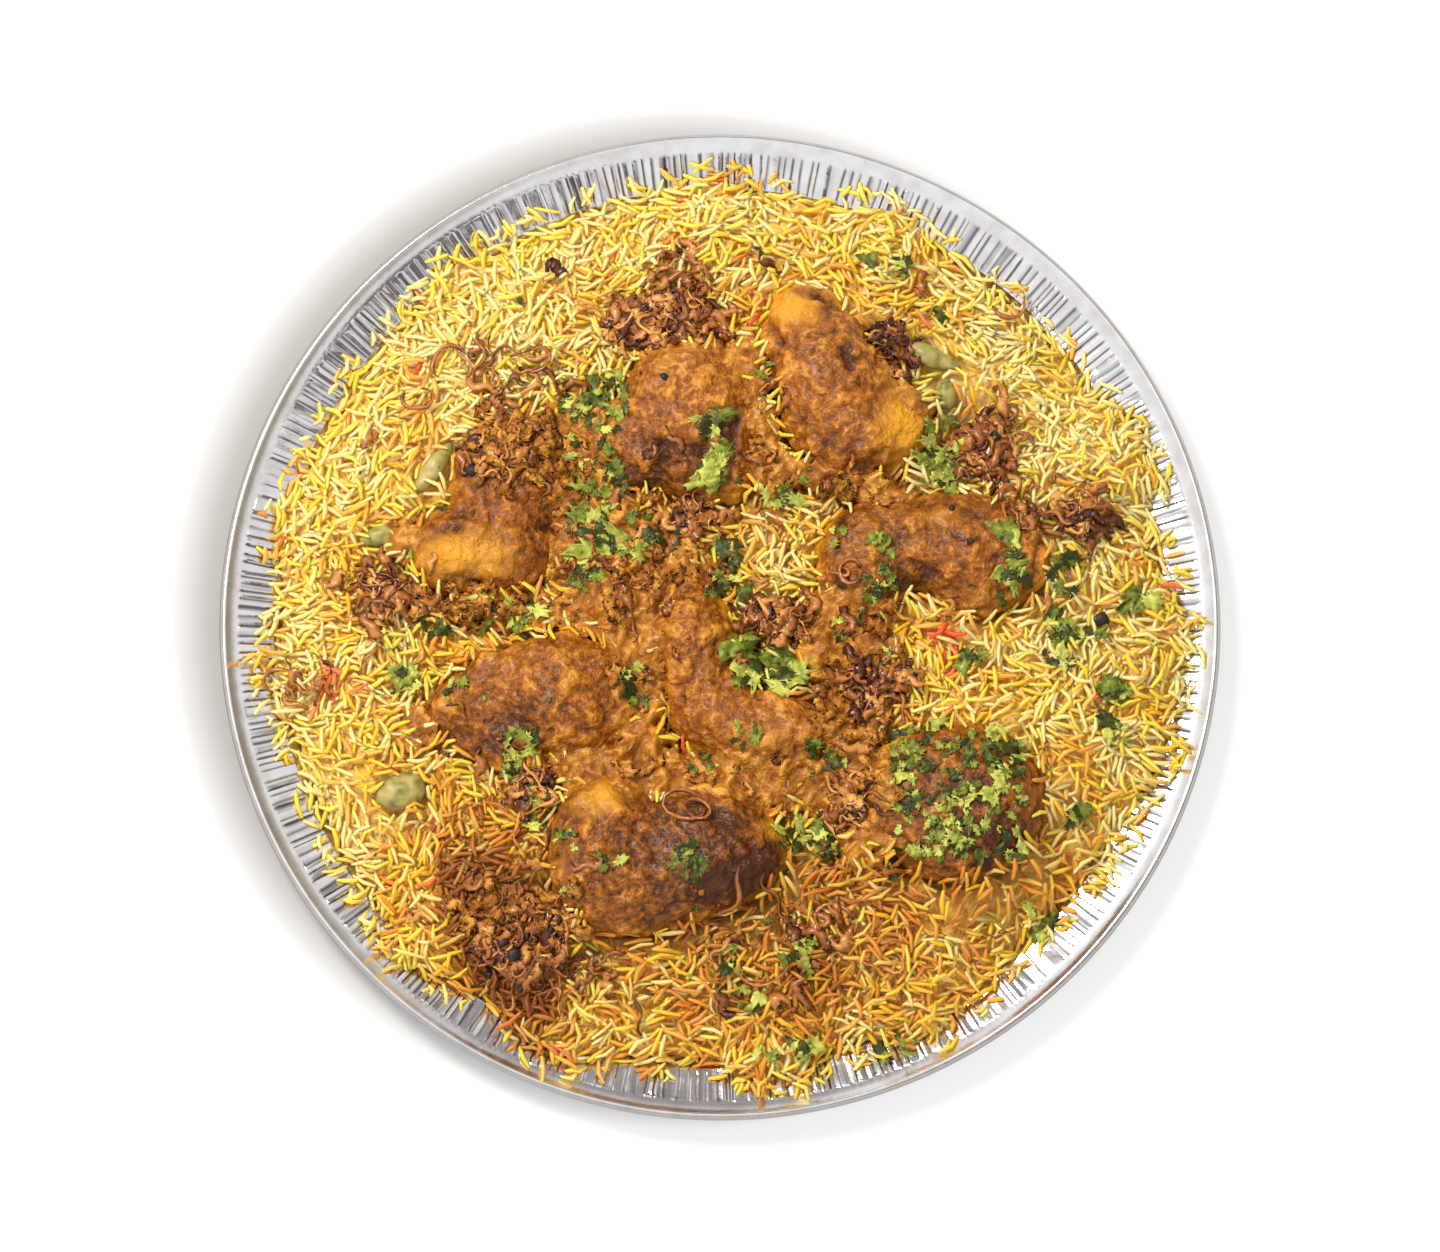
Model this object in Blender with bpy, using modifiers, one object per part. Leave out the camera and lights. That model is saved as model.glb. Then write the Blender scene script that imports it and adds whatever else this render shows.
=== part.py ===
"""Chicken biryani heaped in a round foil serving tray.

Metres, +Z up. The origin is the centre of the tray's flat base, on the surface that the tray
stands on. -Y is the front of the tray and +X its right.

Tables of places and sizes are in millimetres and degrees, and MM turns them into metres.
"""
import math
from dataclasses import dataclass

import bmesh
import bpy
import numpy as np
from mathutils import Vector, noise

MM = 0.001

# Foil tray: flat base, sloping pleated wall and a rolled bead at the rim.
RIM_RADIUS = 0.2285
TRAY_HEIGHT = 0.025
BASE_RADIUS = 0.190
FOIL = 0.0004
BEAD_RADIUS = 0.0028
BEAD_CORNERS_DEG = (160.0, 90.0, 0.0, -50.0, -100.0)
PLEATS = 56
PLEAT_DEPTH = 0.0009
PLEATS_START = 0.15
PLEATS_END = 0.90
CREASE_DEG = 20.0

# Rice: a low heap that fills the base, leans on the wall and ends in an uneven edge.
RICE_CROWN = 0.040
RICE_STEEPNESS = 6.0
RICE_LIP = 0.0025
RICE_EDGE = 0.902
RICE_FOOT_RADIUS = BASE_RADIUS - 0.0025
RICE_FOOT_SHARE = 0.9
RICE_SECTORS = 76
RICE_RINGS = (0.35, 0.60, 0.78, 0.90, 1.0)
RICE_SWELL = 0.0022
RICE_SWELL_PITCH = 0.055

# Where the rice reaches further up the wall: direction, half-width (degrees), share of the rim radius.
RICE_REACHES = (
    (0.0, 6.0, 0.038),
    (23.0, 6.0, 0.052),
    (67.0, 5.0, 0.030),
    (91.0, 5.0, 0.034),
    (127.0, 5.0, 0.030),
    (166.0, 6.0, 0.030),
    (187.0, 4.0, 0.026),
    (228.0, 5.0, 0.048),
    (249.0, 7.0, 0.052),
    (278.0, 5.0, 0.050),
    (298.0, 8.0, 0.050),
    (345.0, 13.0, 0.046),
)
RICE_EDGE_ROUGHNESS = 0.006
RICE_EDGE_WAVES = 9.0

# Gap that two touching pieces keep, distance at which a turned profile's ends join at the axis,
# and how sharply two lobes of one piece meet.
CLEARANCE = 0.00035
WELD = 0.00001
LOBE_BLEND = 2.6

COLLECTION = "biryani"
CUTTER_COLLECTION = "cutters"


@dataclass(frozen=True)
class Lobe:
    """A rounded muscle: centre, half-lengths along, across and up (mm), and turn about +Z (degrees)."""

    x: float
    y: float
    z: float
    along: float
    across: float
    up: float
    turn: float = 0.0


@dataclass(frozen=True)
class Clump:
    """A tangle of fried onion on the rice: centre, full length, width and height (mm), and turn."""

    x: float
    y: float
    length: float
    width: float
    height: float
    turn: float = 0.0


# Chicken on the bone, cooked in its masala. Each piece is a few lobes that run into each other.
CHICKEN = {
    "chicken_back_left": (
        Lobe(-15, 93, 43, 33, 35, 22),
        Lobe(-43, 76, 38, 17, 20, 17),
        Lobe(-2, 68, 40, 23, 17, 18),
    ),
    "chicken_back_right": (
        Lobe(38, 135, 40, 20, 22, 18, 15),
        Lobe(50, 109, 45, 28, 33, 22, 15),
        Lobe(67, 83, 43, 33, 23, 21, 20),
    ),
    "chicken_right": (
        Lobe(64, 28, 40, 24, 27, 20),
        Lobe(90, 36, 40, 24, 18, 18),
        Lobe(119, 28, 40, 33, 29, 21, -12),
    ),
    "chicken_left": (
        Lobe(-110, 28, 39, 38, 21, 19, -6),
        Lobe(-94, 66, 39, 29, 28, 18, 40),
    ),
    "chicken_middle_left": (
        Lobe(-69, -36, 42, 35, 28, 21),
        Lobe(-117, -37, 38, 30, 14, 18, 35),
        Lobe(-93, -58, 37, 26, 12, 15, 10),
        Lobe(-64, -58, 38, 15, 10, 14),
    ),
    "chicken_leg_middle": (
        Lobe(-11, -14, 44, 20, 30, 21),
        Lobe(-1, -47, 42, 22, 18, 20),
        Lobe(26, -56, 43, 34, 20, 21, -8),
        Lobe(-18, 18, 40, 8, 14, 13, 15),
    ),
    "chicken_front": (
        Lobe(-56, -107, 44, 24, 38, 23, -6),
        Lobe(-5, -108, 44, 40, 29, 23, 4),
        Lobe(-33, -126, 40, 28, 21, 19),
    ),
    "chicken_front_right": (
        Lobe(107, -86, 40, 41, 37, 21, 10),
        Lobe(82, -80, 39, 19, 21, 18),
    ),
}

# Smaller pieces: scraps of chicken in masala, and the cooked chillies.
SCRAPS = {
    "chicken_scrap_middle": (Lobe(-49, 5, 41, 18, 10, 13),),
    "chicken_scrap_front": (Lobe(-32, -64, 43, 7, 10, 12, 10),),
}
CHILLIES = {
    "green_chilli_back": (
        Lobe(91, 122, 42, 13, 6, 6, -22),
        Lobe(109, 114, 40, 12, 4.5, 4.5, -30),
    ),
    "green_chilli_back_end": (Lobe(103, 103, 42, 6, 9, 6, -15),),
    "green_chilli_middle": (Lobe(45, -18, 46, 5, 12, 5, -12),),
    "green_chilli_left": (Lobe(-131, 68, 40, 22, 5, 5, 55),),
    "green_chilli_far_left": (Lobe(-155, 38, 37, 12, 5, 5, 15),),
    "green_chilli_front_left": (Lobe(-145, -80, 36, 14, 9, 9, 15),),
}

# Fried onions in tangles that lie on the rice, against the chicken.
ONIONS = {
    "fried_onion_back": Clump(-24, 138, 64, 34, 24, 4),
    "fried_onion_back_right": Clump(79, 121, 20, 28, 20, 15),
    "fried_onion_right": Clump(122, 77, 26, 34, 20, 5),
    "fried_onion_far_right": Clump(162, 48, 32, 19, 14, -15),
    "fried_onion_centre": Clump(-13, 44, 18, 15, 16),
    "fried_onion_middle": Clump(26, -3, 34, 18, 18),
    "fried_onion_middle_right": Clump(73, -31, 32, 28, 18, -20),
    "fried_onion_front_right": Clump(57, -88, 15, 27, 20, -10),
    "fried_onion_far_left": Clump(-153, 11, 36, 26, 14, -25),
    "fried_onion_front_left": Clump(-86, -152, 42, 44, 16, -35),
    "fried_onion_front_gap": Clump(-86, -82, 20, 18, 18, 35),
}

CHICKEN_SUBDIVISIONS = 3
SMALL_SUBDIVISIONS = 2
CHICKEN_UNEVENNESS = 0.05
ONION_UNEVENNESS = 0.16
UNEVENNESS_PITCH = 0.012

# Search for a lobed surface, outwards from the middle of the piece.
SEARCH_REACH = 0.12
SEARCH_STEPS = 120
BISECTIONS = 30

FOIL_LOOK = ((0.78, 0.78, 0.80), 1.0, 0.28)
RICE_LOOK = ((0.86, 0.66, 0.24), 0.0, 0.55)
CHICKEN_LOOK = ((0.50, 0.26, 0.08), 0.0, 0.40)
ONION_LOOK = ((0.24, 0.09, 0.04), 0.0, 0.45)
CHILLI_LOOK = ((0.47, 0.40, 0.18), 0.0, 0.40)


def clear_objects():
    """Remove the objects that the open file brings."""
    for obj in list(bpy.data.objects):
        bpy.data.objects.remove(obj, do_unlink=True)


def make_collection(name):
    """Return a new collection linked under the scene's own."""
    collection = bpy.data.collections.new(name)
    bpy.context.scene.collection.children.link(collection)
    return collection


def make_material(name, look):
    """Return a Principled material with the given colour, metallic and roughness values."""
    colour, metallic, roughness = look
    material = bpy.data.materials.new(name)
    material.use_nodes = True
    shader = material.node_tree.nodes["Principled BSDF"]
    shader.inputs["Base Color"].default_value = (*colour, 1.0)
    shader.inputs["Metallic"].default_value = metallic
    shader.inputs["Roughness"].default_value = roughness
    return material


def make_object(name, mesh, collection, look=None):
    """Link a mesh as a named object, with its own material where a look is given."""
    obj = bpy.data.objects.new(name, mesh)
    collection.objects.link(obj)
    if look is not None:
        mesh.materials.append(make_material(name, look))
    return obj


def turned_mesh(name, profile, steps):
    """Turn a profile of (radius, height) points about +Z into a closed mesh."""
    mesh = bpy.data.meshes.new(name)
    points = [(radius, 0.0, height) for radius, height in profile]
    mesh.from_pydata(points, [(i, i + 1) for i in range(len(points) - 1)], [])
    obj = bpy.data.objects.new(name, mesh)
    bpy.context.scene.collection.objects.link(obj)
    screw = obj.modifiers.new("turn", "SCREW")
    screw.steps = steps
    screw.render_steps = steps
    screw.use_merge_vertices = True
    screw.merge_threshold = WELD
    graph = bpy.context.evaluated_depsgraph_get()
    turned = bpy.data.meshes.new_from_object(obj.evaluated_get(graph))
    bpy.data.objects.remove(obj, do_unlink=True)
    bpy.data.meshes.remove(mesh)
    turned.name = name
    return turned


def split_quads(mesh):
    """Split every face into triangles, the same way on each mesh of one layout."""
    work = bmesh.new()
    work.from_mesh(mesh)
    bmesh.ops.triangulate(work, faces=work.faces[:], quad_method="FIXED")
    work.to_mesh(mesh)
    work.free()


# ---------------------------------------------------------------- tray


def bead_centre():
    """Return the radius and height of the rolled bead's centre."""
    return RIM_RADIUS - BEAD_RADIUS, TRAY_HEIGHT - BEAD_RADIUS


def wall_frame():
    """Return the wall's foot, its top and its unit normal into the tray, as (radius, height)."""
    foot = Vector((BASE_RADIUS, FOIL / 2))
    radius, height = bead_centre()
    top = Vector((radius - BEAD_RADIUS, height))
    along = (top - foot).normalized()
    return foot, top, Vector((-along.y, along.x))


def wall_height(radius):
    """Return the height of the middle of the wall's foil at a radius."""
    foot, top, _ = wall_frame()
    share = (radius - foot.x) / (top.x - foot.x)
    return foot.y + max(share, 0.0) * (top.y - foot.y)


def tray_profile():
    """Return the closed section of the foil, from the axis inside, over the bead, to the axis below."""
    foot, top, normal = wall_frame()
    inner = [foot.lerp(top, share) + normal * FOIL / 2 for share in (PLEATS_START, PLEATS_END)]
    outer = [foot.lerp(top, share) - normal * FOIL / 2 for share in (PLEATS_END, PLEATS_START)]
    radius, height = bead_centre()
    bead = []
    for angle in map(math.radians, BEAD_CORNERS_DEG):
        bead.append((radius + BEAD_RADIUS * math.cos(angle), height + BEAD_RADIUS * math.sin(angle)))
    return (
        [(0.0, FOIL), (BASE_RADIUS, FOIL)]
        + [tuple(point) for point in inner]
        + bead
        + [tuple(point) for point in outer]
        + [(BASE_RADIUS, 0.0), (0.0, 0.0)]
    )


def pleat(mesh):
    """Fold the wall: its vertices move in and out of the tray by turns, along the wall's normal."""
    foot, top, normal = wall_frame()
    low = foot.lerp(top, PLEATS_START).x - FOIL
    high = foot.lerp(top, PLEATS_END).x + FOIL
    step = math.pi / PLEATS
    for vertex in mesh.vertices:
        radius = math.hypot(vertex.co.x, vertex.co.y)
        if not low < radius < high:
            continue
        angle = math.atan2(vertex.co.y, vertex.co.x)
        side = 1.0 if round(angle / step) % 2 else -1.0
        moved = Vector((radius, vertex.co.z)) + normal * side * PLEAT_DEPTH
        vertex.co = (moved.x * math.cos(angle), moved.x * math.sin(angle), moved.y)


def make_tray(collection):
    """Build the foil tray."""
    mesh = turned_mesh("foil_tray", tray_profile(), 2 * PLEATS)
    pleat(mesh)
    mesh.shade_smooth()
    mesh.set_sharp_from_angle(angle=math.radians(CREASE_DEG))
    return make_object("foil_tray", mesh, collection, FOIL_LOOK)


# ---------------------------------------------------------------- rice


def rice_edge(angle):
    """Return the radius of the rice's outer edge in a direction."""
    share = RICE_EDGE
    for centre, half_width, reach in RICE_REACHES:
        away = math.remainder(angle - math.radians(centre), math.tau)
        share += reach * math.exp(-((away / math.radians(half_width)) ** 2))
    wobble = noise.noise(Vector((math.cos(angle), math.sin(angle), 0.0)) * RICE_EDGE_WAVES)
    return RIM_RADIUS * (share + RICE_EDGE_ROUGHNESS * wobble)


def rice_height(x, y, lift=0.0):
    """Return the height of the heap's top at a place."""
    share = min(math.hypot(x, y) / rice_edge(math.atan2(y, x)), 1.0)
    lip = under_rice(x, y) + RICE_LIP
    rise = 1.0 - share**RICE_STEEPNESS
    swell = noise.noise(Vector((x, y, 0.0)) / RICE_SWELL_PITCH) * RICE_SWELL * rise
    return lip + (RICE_CROWN - lip) * rise + swell + lift


def under_rice(x, y):
    """Return the height of the rice's underside at its edge, clear of the pleats."""
    _, _, normal = wall_frame()
    off_wall = (FOIL / 2 + PLEAT_DEPTH + CLEARANCE) / normal.y
    return wall_height(rice_edge(math.atan2(y, x))) + off_wall


def heap_mesh(name, lift=0.0):
    """Build the closed heap: a turned disc whose top and underside are set from the heap's rules."""
    top = [(0.0, 1.0)] + [(share, 1.0) for share in RICE_RINGS]
    under = [(1.0, -1.0), (RICE_FOOT_SHARE, -1.0), (0.0, -1.0)]
    mesh = turned_mesh(name, top + under, RICE_SECTORS)
    on_foot = (1.0 + RICE_FOOT_SHARE) / 2
    for vertex in mesh.vertices:
        share = math.hypot(vertex.co.x, vertex.co.y)
        angle = math.atan2(vertex.co.y, vertex.co.x)
        rests = vertex.co.z < 0 and share < on_foot
        radius = share * (RICE_FOOT_RADIUS / RICE_FOOT_SHARE if rests else rice_edge(angle))
        x, y = radius * math.cos(angle), radius * math.sin(angle)
        if rests:
            z = FOIL + CLEARANCE
        elif vertex.co.z < 0:
            z = under_rice(x, y)
        else:
            z = rice_height(x, y, lift)
        vertex.co = (x, y, z)
    split_quads(mesh)
    mesh.shade_smooth()
    return mesh


# ---------------------------------------------------------------- chicken, chillies and onions


def lobe_field(points, lobes):
    """Return a value that is positive inside the blended lobes and zero on their surface."""
    total = np.zeros(len(points))
    for lobe in lobes:
        cosine, sine = math.cos(math.radians(lobe.turn)), math.sin(math.radians(lobe.turn))
        offset = points - np.array((lobe.x, lobe.y, lobe.z)) * MM
        along = (offset[:, 0] * cosine + offset[:, 1] * sine) / (lobe.along * MM)
        across = (offset[:, 1] * cosine - offset[:, 0] * sine) / (lobe.across * MM)
        up = offset[:, 2] / (lobe.up * MM)
        total += np.exp(LOBE_BLEND * (1.0 - along**2 - across**2 - up**2))
    return total - 1.0


def middle_of(lobes):
    """Return the middle of the lobes, each weighed by its volume."""
    centres = np.array([(lobe.x, lobe.y, lobe.z) for lobe in lobes]) * MM
    weights = np.array([lobe.along * lobe.across * lobe.up for lobe in lobes])
    return (centres * weights[:, None]).sum(axis=0) / weights.sum()


def surface_reach(middle, directions, lobes):
    """Return how far the lobes' outermost surface lies from the middle in each direction."""
    steps = np.linspace(SEARCH_REACH, 0.0, SEARCH_STEPS)
    outside = np.full(len(directions), SEARCH_REACH)
    inside = np.zeros(len(directions))
    found = np.zeros(len(directions), dtype=bool)
    for reach in steps:
        value = lobe_field(middle + directions * reach, lobes)
        hit = (value > 0.0) & ~found
        inside[hit] = reach
        found |= hit
        outside[~found] = reach
    for _ in range(BISECTIONS):
        half = (inside + outside) / 2
        value = lobe_field(middle + directions * half[:, None], lobes)
        inside = np.where(value > 0.0, half, inside)
        outside = np.where(value > 0.0, outside, half)
    return (inside + outside) / 2


def lobed_mesh(name, lobes, subdivisions, unevenness):
    """Push a sphere's vertices out to the surface of the blended lobes, a little unevenly."""
    middle = middle_of(lobes)
    work = bmesh.new()
    bmesh.ops.create_icosphere(work, subdivisions=subdivisions, radius=1.0)
    directions = np.array([vertex.co.normalized() for vertex in work.verts])
    reaches = surface_reach(middle, directions, lobes)
    for vertex, direction, reach in zip(work.verts, directions, reaches):
        place = Vector(middle + direction * reach)
        uneven = 1.0 + unevenness * noise.noise(place / UNEVENNESS_PITCH)
        vertex.co = Vector(middle) + Vector(direction) * reach * uneven
    mesh = bpy.data.meshes.new(name)
    work.to_mesh(mesh)
    work.free()
    mesh.shade_smooth()
    return mesh


def clump_lobes(clump):
    """Return a clump's tangle as one lobe centred on the surface of the rice."""
    ground = rice_height(clump.x * MM, clump.y * MM) / MM
    return (
        Lobe(clump.x, clump.y, ground, clump.length / 2, clump.width / 2, clump.height / 2, clump.turn),
    )


def make_cutter(obj, collection):
    """Return a copy of a piece, swollen by the clearance, that cuts room for it."""
    mesh = obj.data.copy()
    mesh.materials.clear()
    normals = [vertex.normal.copy() for vertex in mesh.vertices]
    for vertex, normal in zip(mesh.vertices, normals):
        vertex.co += normal * CLEARANCE
    cutter = make_object(obj.name + "_cutter", mesh, collection)
    cutter.hide_render = True
    cutter.display_type = "WIRE"
    return cutter


def cut(obj, cutter):
    """Cut a piece away around another."""
    modifier = obj.modifiers.new("room for " + cutter.name, "BOOLEAN")
    modifier.operation = "DIFFERENCE"
    modifier.solver = "EXACT"
    modifier.object = cutter


def bounds_meet(one, other):
    """Return whether two pieces' boxes overlap."""
    boxes = []
    for obj in (one, other):
        points = np.array([vertex.co for vertex in obj.data.vertices])
        boxes.append((points.min(axis=0), points.max(axis=0)))
    (low_a, high_a), (low_b, high_b) = boxes
    return bool(np.all(low_a < high_b) and np.all(low_b < high_a))


def main():
    """Build the tray, what lies in it and the cuts between them."""
    clear_objects()
    parts = make_collection(COLLECTION)
    cutters = make_collection(CUTTER_COLLECTION)

    make_tray(parts)
    rice = make_object("rice_bed", heap_mesh("rice_bed"), parts, RICE_LOOK)
    rice_cutter = make_object("rice_cutter", heap_mesh("rice_cutter", CLEARANCE), cutters)
    rice_cutter.hide_render = True
    rice_cutter.display_type = "WIRE"

    solids = []
    for table, look, subdivisions in (
        (CHICKEN, CHICKEN_LOOK, CHICKEN_SUBDIVISIONS),
        (SCRAPS, CHICKEN_LOOK, SMALL_SUBDIVISIONS),
        (CHILLIES, CHILLI_LOOK, SMALL_SUBDIVISIONS),
    ):
        for name, lobes in table.items():
            mesh = lobed_mesh(name, lobes, subdivisions, CHICKEN_UNEVENNESS)
            solids.append(make_object(name, mesh, parts, look))
    solid_cutters = [make_cutter(obj, cutters) for obj in solids]
    for cutter in solid_cutters:
        cut(rice, cutter)

    clumps = []
    for name, clump in ONIONS.items():
        mesh = lobed_mesh(name, clump_lobes(clump), SMALL_SUBDIVISIONS, ONION_UNEVENNESS)
        clumps.append(make_object(name, mesh, parts, ONION_LOOK))
    for obj in clumps:
        cut(obj, rice_cutter)
        for cutter in solid_cutters:
            if bounds_meet(obj, cutter):
                cut(obj, cutter)


main()
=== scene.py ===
"""Chicken biryani heaped in a round foil tray: its looks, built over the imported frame."""

import logging
import math
from dataclasses import dataclass, field
from enum import Enum
from typing import Iterable

import bmesh
import bpy
import numpy as np
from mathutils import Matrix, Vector
from mathutils.bvhtree import BVHTree


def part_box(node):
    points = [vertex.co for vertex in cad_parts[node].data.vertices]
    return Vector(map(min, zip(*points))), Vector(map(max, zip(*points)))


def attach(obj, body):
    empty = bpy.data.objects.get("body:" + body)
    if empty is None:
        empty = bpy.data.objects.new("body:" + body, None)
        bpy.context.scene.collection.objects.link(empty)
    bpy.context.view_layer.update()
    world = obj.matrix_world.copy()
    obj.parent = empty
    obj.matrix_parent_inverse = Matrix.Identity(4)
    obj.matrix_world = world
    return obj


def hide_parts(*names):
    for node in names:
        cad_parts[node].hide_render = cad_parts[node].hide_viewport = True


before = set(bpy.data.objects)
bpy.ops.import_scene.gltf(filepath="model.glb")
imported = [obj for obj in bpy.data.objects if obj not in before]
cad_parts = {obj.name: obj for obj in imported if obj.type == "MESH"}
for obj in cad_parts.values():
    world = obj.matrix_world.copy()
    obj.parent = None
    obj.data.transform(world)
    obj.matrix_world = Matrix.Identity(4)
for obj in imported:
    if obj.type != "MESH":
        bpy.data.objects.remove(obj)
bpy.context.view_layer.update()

LOG = logging.getLogger("biryani")
MM = 0.001
BODY = "root"


# ---------------------------------------------------------------- noise and arrays


def lattice_vectors(cells: np.ndarray, seed: int) -> np.ndarray:
    """Gives every lattice cell its own repeatable vector.

    Args:
        cells: Whole-number cell places, three to a row.
        seed: Picks one of many such lattices.

    Returns:
        Vectors with parts between -1 and 1, three to a row.
    """
    places = cells.astype(np.int64).astype(np.uint64)
    mixed = places[:, 0] * np.uint64(73856093) ^ places[:, 1] * np.uint64(19349663)
    mixed ^= places[:, 2] * np.uint64(83492791) ^ np.uint64(seed * 2654435761 + 12345)
    parts = []
    for _ in range(3):
        mixed = (mixed ^ (mixed >> np.uint64(15))) * np.uint64(0x2C1B3C6D) & np.uint64(0xFFFFFFFF)
        mixed = (mixed ^ (mixed >> np.uint64(12))) * np.uint64(0x297A2D39) & np.uint64(0xFFFFFFFF)
        mixed ^= mixed >> np.uint64(15)
        parts.append(mixed.astype(np.float64) / 2**31 - 1.0)
    return np.stack(parts, axis=1)


def smooth_noise(points: np.ndarray, pitch: float, seed: int) -> np.ndarray:
    """Smooth noise of one size.

    Args:
        points: Places in metres, three to a row.
        pitch: Distance between neighbouring lumps, in metres.
        seed: Picks one of many such noises.

    Returns:
        One value for each point, mostly between -1 and 1.
    """
    scaled = points / pitch
    cell = np.floor(scaled)
    inside = scaled - cell
    fade = inside**3 * (inside * (inside * 6 - 15) + 10)
    total = np.zeros(len(points))
    for corner in range(8):
        step = np.array([corner & 1, corner >> 1 & 1, corner >> 2 & 1])
        weight = np.prod(np.where(step, fade, 1 - fade), axis=1)
        total += weight * np.sum(lattice_vectors(cell + step, seed) * (inside - step), axis=1)
    return total * 1.6


def layered_noise(points: np.ndarray, pitch: float, layers: int, seed: int) -> np.ndarray:
    """Smooth noise with finer and weaker layers added to it.

    Args:
        points: Places in metres, three to a row.
        pitch: Distance between the largest lumps, in metres.
        layers: How many sizes of lump, each half the size of the last.
        seed: Picks one of many such noises.

    Returns:
        One value for each point, mostly between -1 and 1.
    """
    total = np.zeros(len(points))
    for layer in range(layers):
        total += 0.55**layer * smooth_noise(points, pitch / 2**layer, seed + 31 * layer)
    return total


def flat_points(x: np.ndarray, y: np.ndarray, z: float = 0.0) -> np.ndarray:
    """Rows of (x, y, z) from flat coordinates."""
    return np.stack([x, y, np.full_like(x, z)], axis=-1).reshape(-1, 3)


def made(kind: type, rows: Iterable[tuple[float, ...]]) -> tuple:
    """An object of one kind from each row of a table."""
    return tuple(kind(*row) for row in rows)


def step_between(values: np.ndarray, low: float, high: float) -> np.ndarray:
    """0 below low, 1 above high and a smooth rise between them."""
    share = np.clip((values - low) / (high - low), 0.0, 1.0)
    return share * share * (3 - 2 * share)


def widened(mask: np.ndarray, cells: int) -> np.ndarray:
    """A mask on the grid, grown by a number of cells on every side.

    Args:
        mask: The mask.
        cells: How many cells it grows by.

    Returns:
        The grown mask.
    """
    sides = ((0, 0), (1, 0), (-1, 0), (0, 1), (0, -1))
    corners = ((1, 1), (-1, -1), (1, -1), (-1, 1))
    for turn in range(cells):
        steps = sides + corners if turn % 2 else sides
        mask = np.logical_or.reduce([np.roll(mask, step, (0, 1)) for step in steps])
    return mask


def blurred(layer: np.ndarray, own: int = 1) -> np.ndarray:
    """A layer of the grid, each cell averaged with its four neighbours; own says if it counts."""
    spread = np.roll(layer, 1, 0) + np.roll(layer, -1, 0) + own * layer
    return (spread + np.roll(layer, 1, 1) + np.roll(layer, -1, 1)) / (4 + own)


# ---------------------------------------------------------------- meshes and pieces


def mesh_of(name: str, vertices: np.ndarray, triangles: np.ndarray) -> bpy.types.Mesh:
    """Makes a smooth-shaded mesh.

    Args:
        name: Name of the mesh.
        vertices: Corners in metres, three numbers to a row.
        triangles: Corner numbers, three to a row.

    Returns:
        The mesh.
    """
    mesh = bpy.data.meshes.new(name)
    mesh.vertices.add(len(vertices))
    mesh.vertices.foreach_set("co", np.ascontiguousarray(vertices, np.float32).ravel())
    mesh.loops.add(len(triangles) * 3)
    mesh.loops.foreach_set("vertex_index", np.ascontiguousarray(triangles, np.int32).ravel())
    mesh.polygons.add(len(triangles))
    mesh.polygons.foreach_set("loop_start", np.arange(0, len(triangles) * 3, 3, dtype=np.int32))
    mesh.polygons.foreach_set("use_smooth", np.ones(len(triangles), bool))
    mesh.update(calc_edges=True)
    mesh.validate()
    return mesh


def mark(mesh: bpy.types.Mesh, name: str, values: np.ndarray) -> None:
    """Stores one number on each corner point of a mesh, for its material to read."""
    layer = mesh.attributes.new(name, "FLOAT", "POINT")
    layer.data.foreach_set("value", np.ascontiguousarray(values, np.float32))


def grid_triangles(rows: int, columns: int, closed: bool = False) -> np.ndarray:
    """Triangles of a grid of points, row after row.

    Args:
        rows: How many rows of points.
        columns: How many points in a row.
        closed: Whether the last column meets the first.

    Returns:
        Point numbers, three to a row.
    """
    row, column = np.meshgrid(
        np.arange(rows - 1), np.arange(columns if closed else columns - 1), indexing="ij"
    )
    row, column = row.ravel(), column.ravel()
    after = (column + 1) % columns
    a, b = row * columns + column, row * columns + after
    c, d = (row + 1) * columns + after, (row + 1) * columns + column
    return np.concatenate([np.stack([a, b, c], 1), np.stack([a, c, d], 1)])


def capped(rings: np.ndarray, columns: int, top: float, bottom: float
           ) -> tuple[np.ndarray, np.ndarray]:
    """Closes a body of rings round the Z axis with a fan over its first and its last ring.

    Args:
        rings: Points, ring after ring.
        columns: How many points are in a ring.
        top: Height of the first fan's middle.
        bottom: Height of the last fan's middle.

    Returns:
        The points with the two middles, and all triangles.
    """
    count = len(rings) // columns
    middle = len(rings)
    column = np.arange(columns)
    after = (column + 1) % columns
    last = (count - 1) * columns
    lid = np.stack([column * 0 + middle, column, after], 1)
    foot = np.stack([column * 0 + middle + 1, last + after, last + column], 1)
    faces = grid_triangles(count, columns, closed=True)[:, ::-1]
    points = np.concatenate([rings, [[0, 0, top], [0, 0, bottom]]])
    return points, np.concatenate([faces, lid, foot])


def place(
    name: str,
    mesh: bpy.types.Mesh,
    material: bpy.types.Material,
    slot: str | None = None,
    nodes: Iterable[str] = (),
) -> bpy.types.Object:
    """Puts a finished mesh in the scene as a piece that rides on the frame.

    Args:
        name: Name of the piece.
        mesh: Its mesh.
        material: Its finish.
        slot: Name of a material slot; not used.
        nodes: The CAD nodes that it stands for.

    Returns:
        The piece.
    """
    mesh.materials.clear()
    mesh.materials.append(material)
    piece = bpy.data.objects.new(name, mesh)
    bpy.context.scene.collection.objects.link(piece)
    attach(piece, BODY)
    for node in nodes:
        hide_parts(node)
    return piece


def solid_of(node: str) -> bmesh.types.BMesh:
    """The closed mesh of a CAD node, its doubled corners joined.

    Args:
        node: Name of the CAD node.

    Returns:
        The mesh, to be freed after use.
    """
    shape = bmesh.new()
    shape.from_mesh(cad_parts[node].data)
    bmesh.ops.remove_doubles(shape, verts=shape.verts, dist=0.01 * MM)
    return shape


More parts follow.
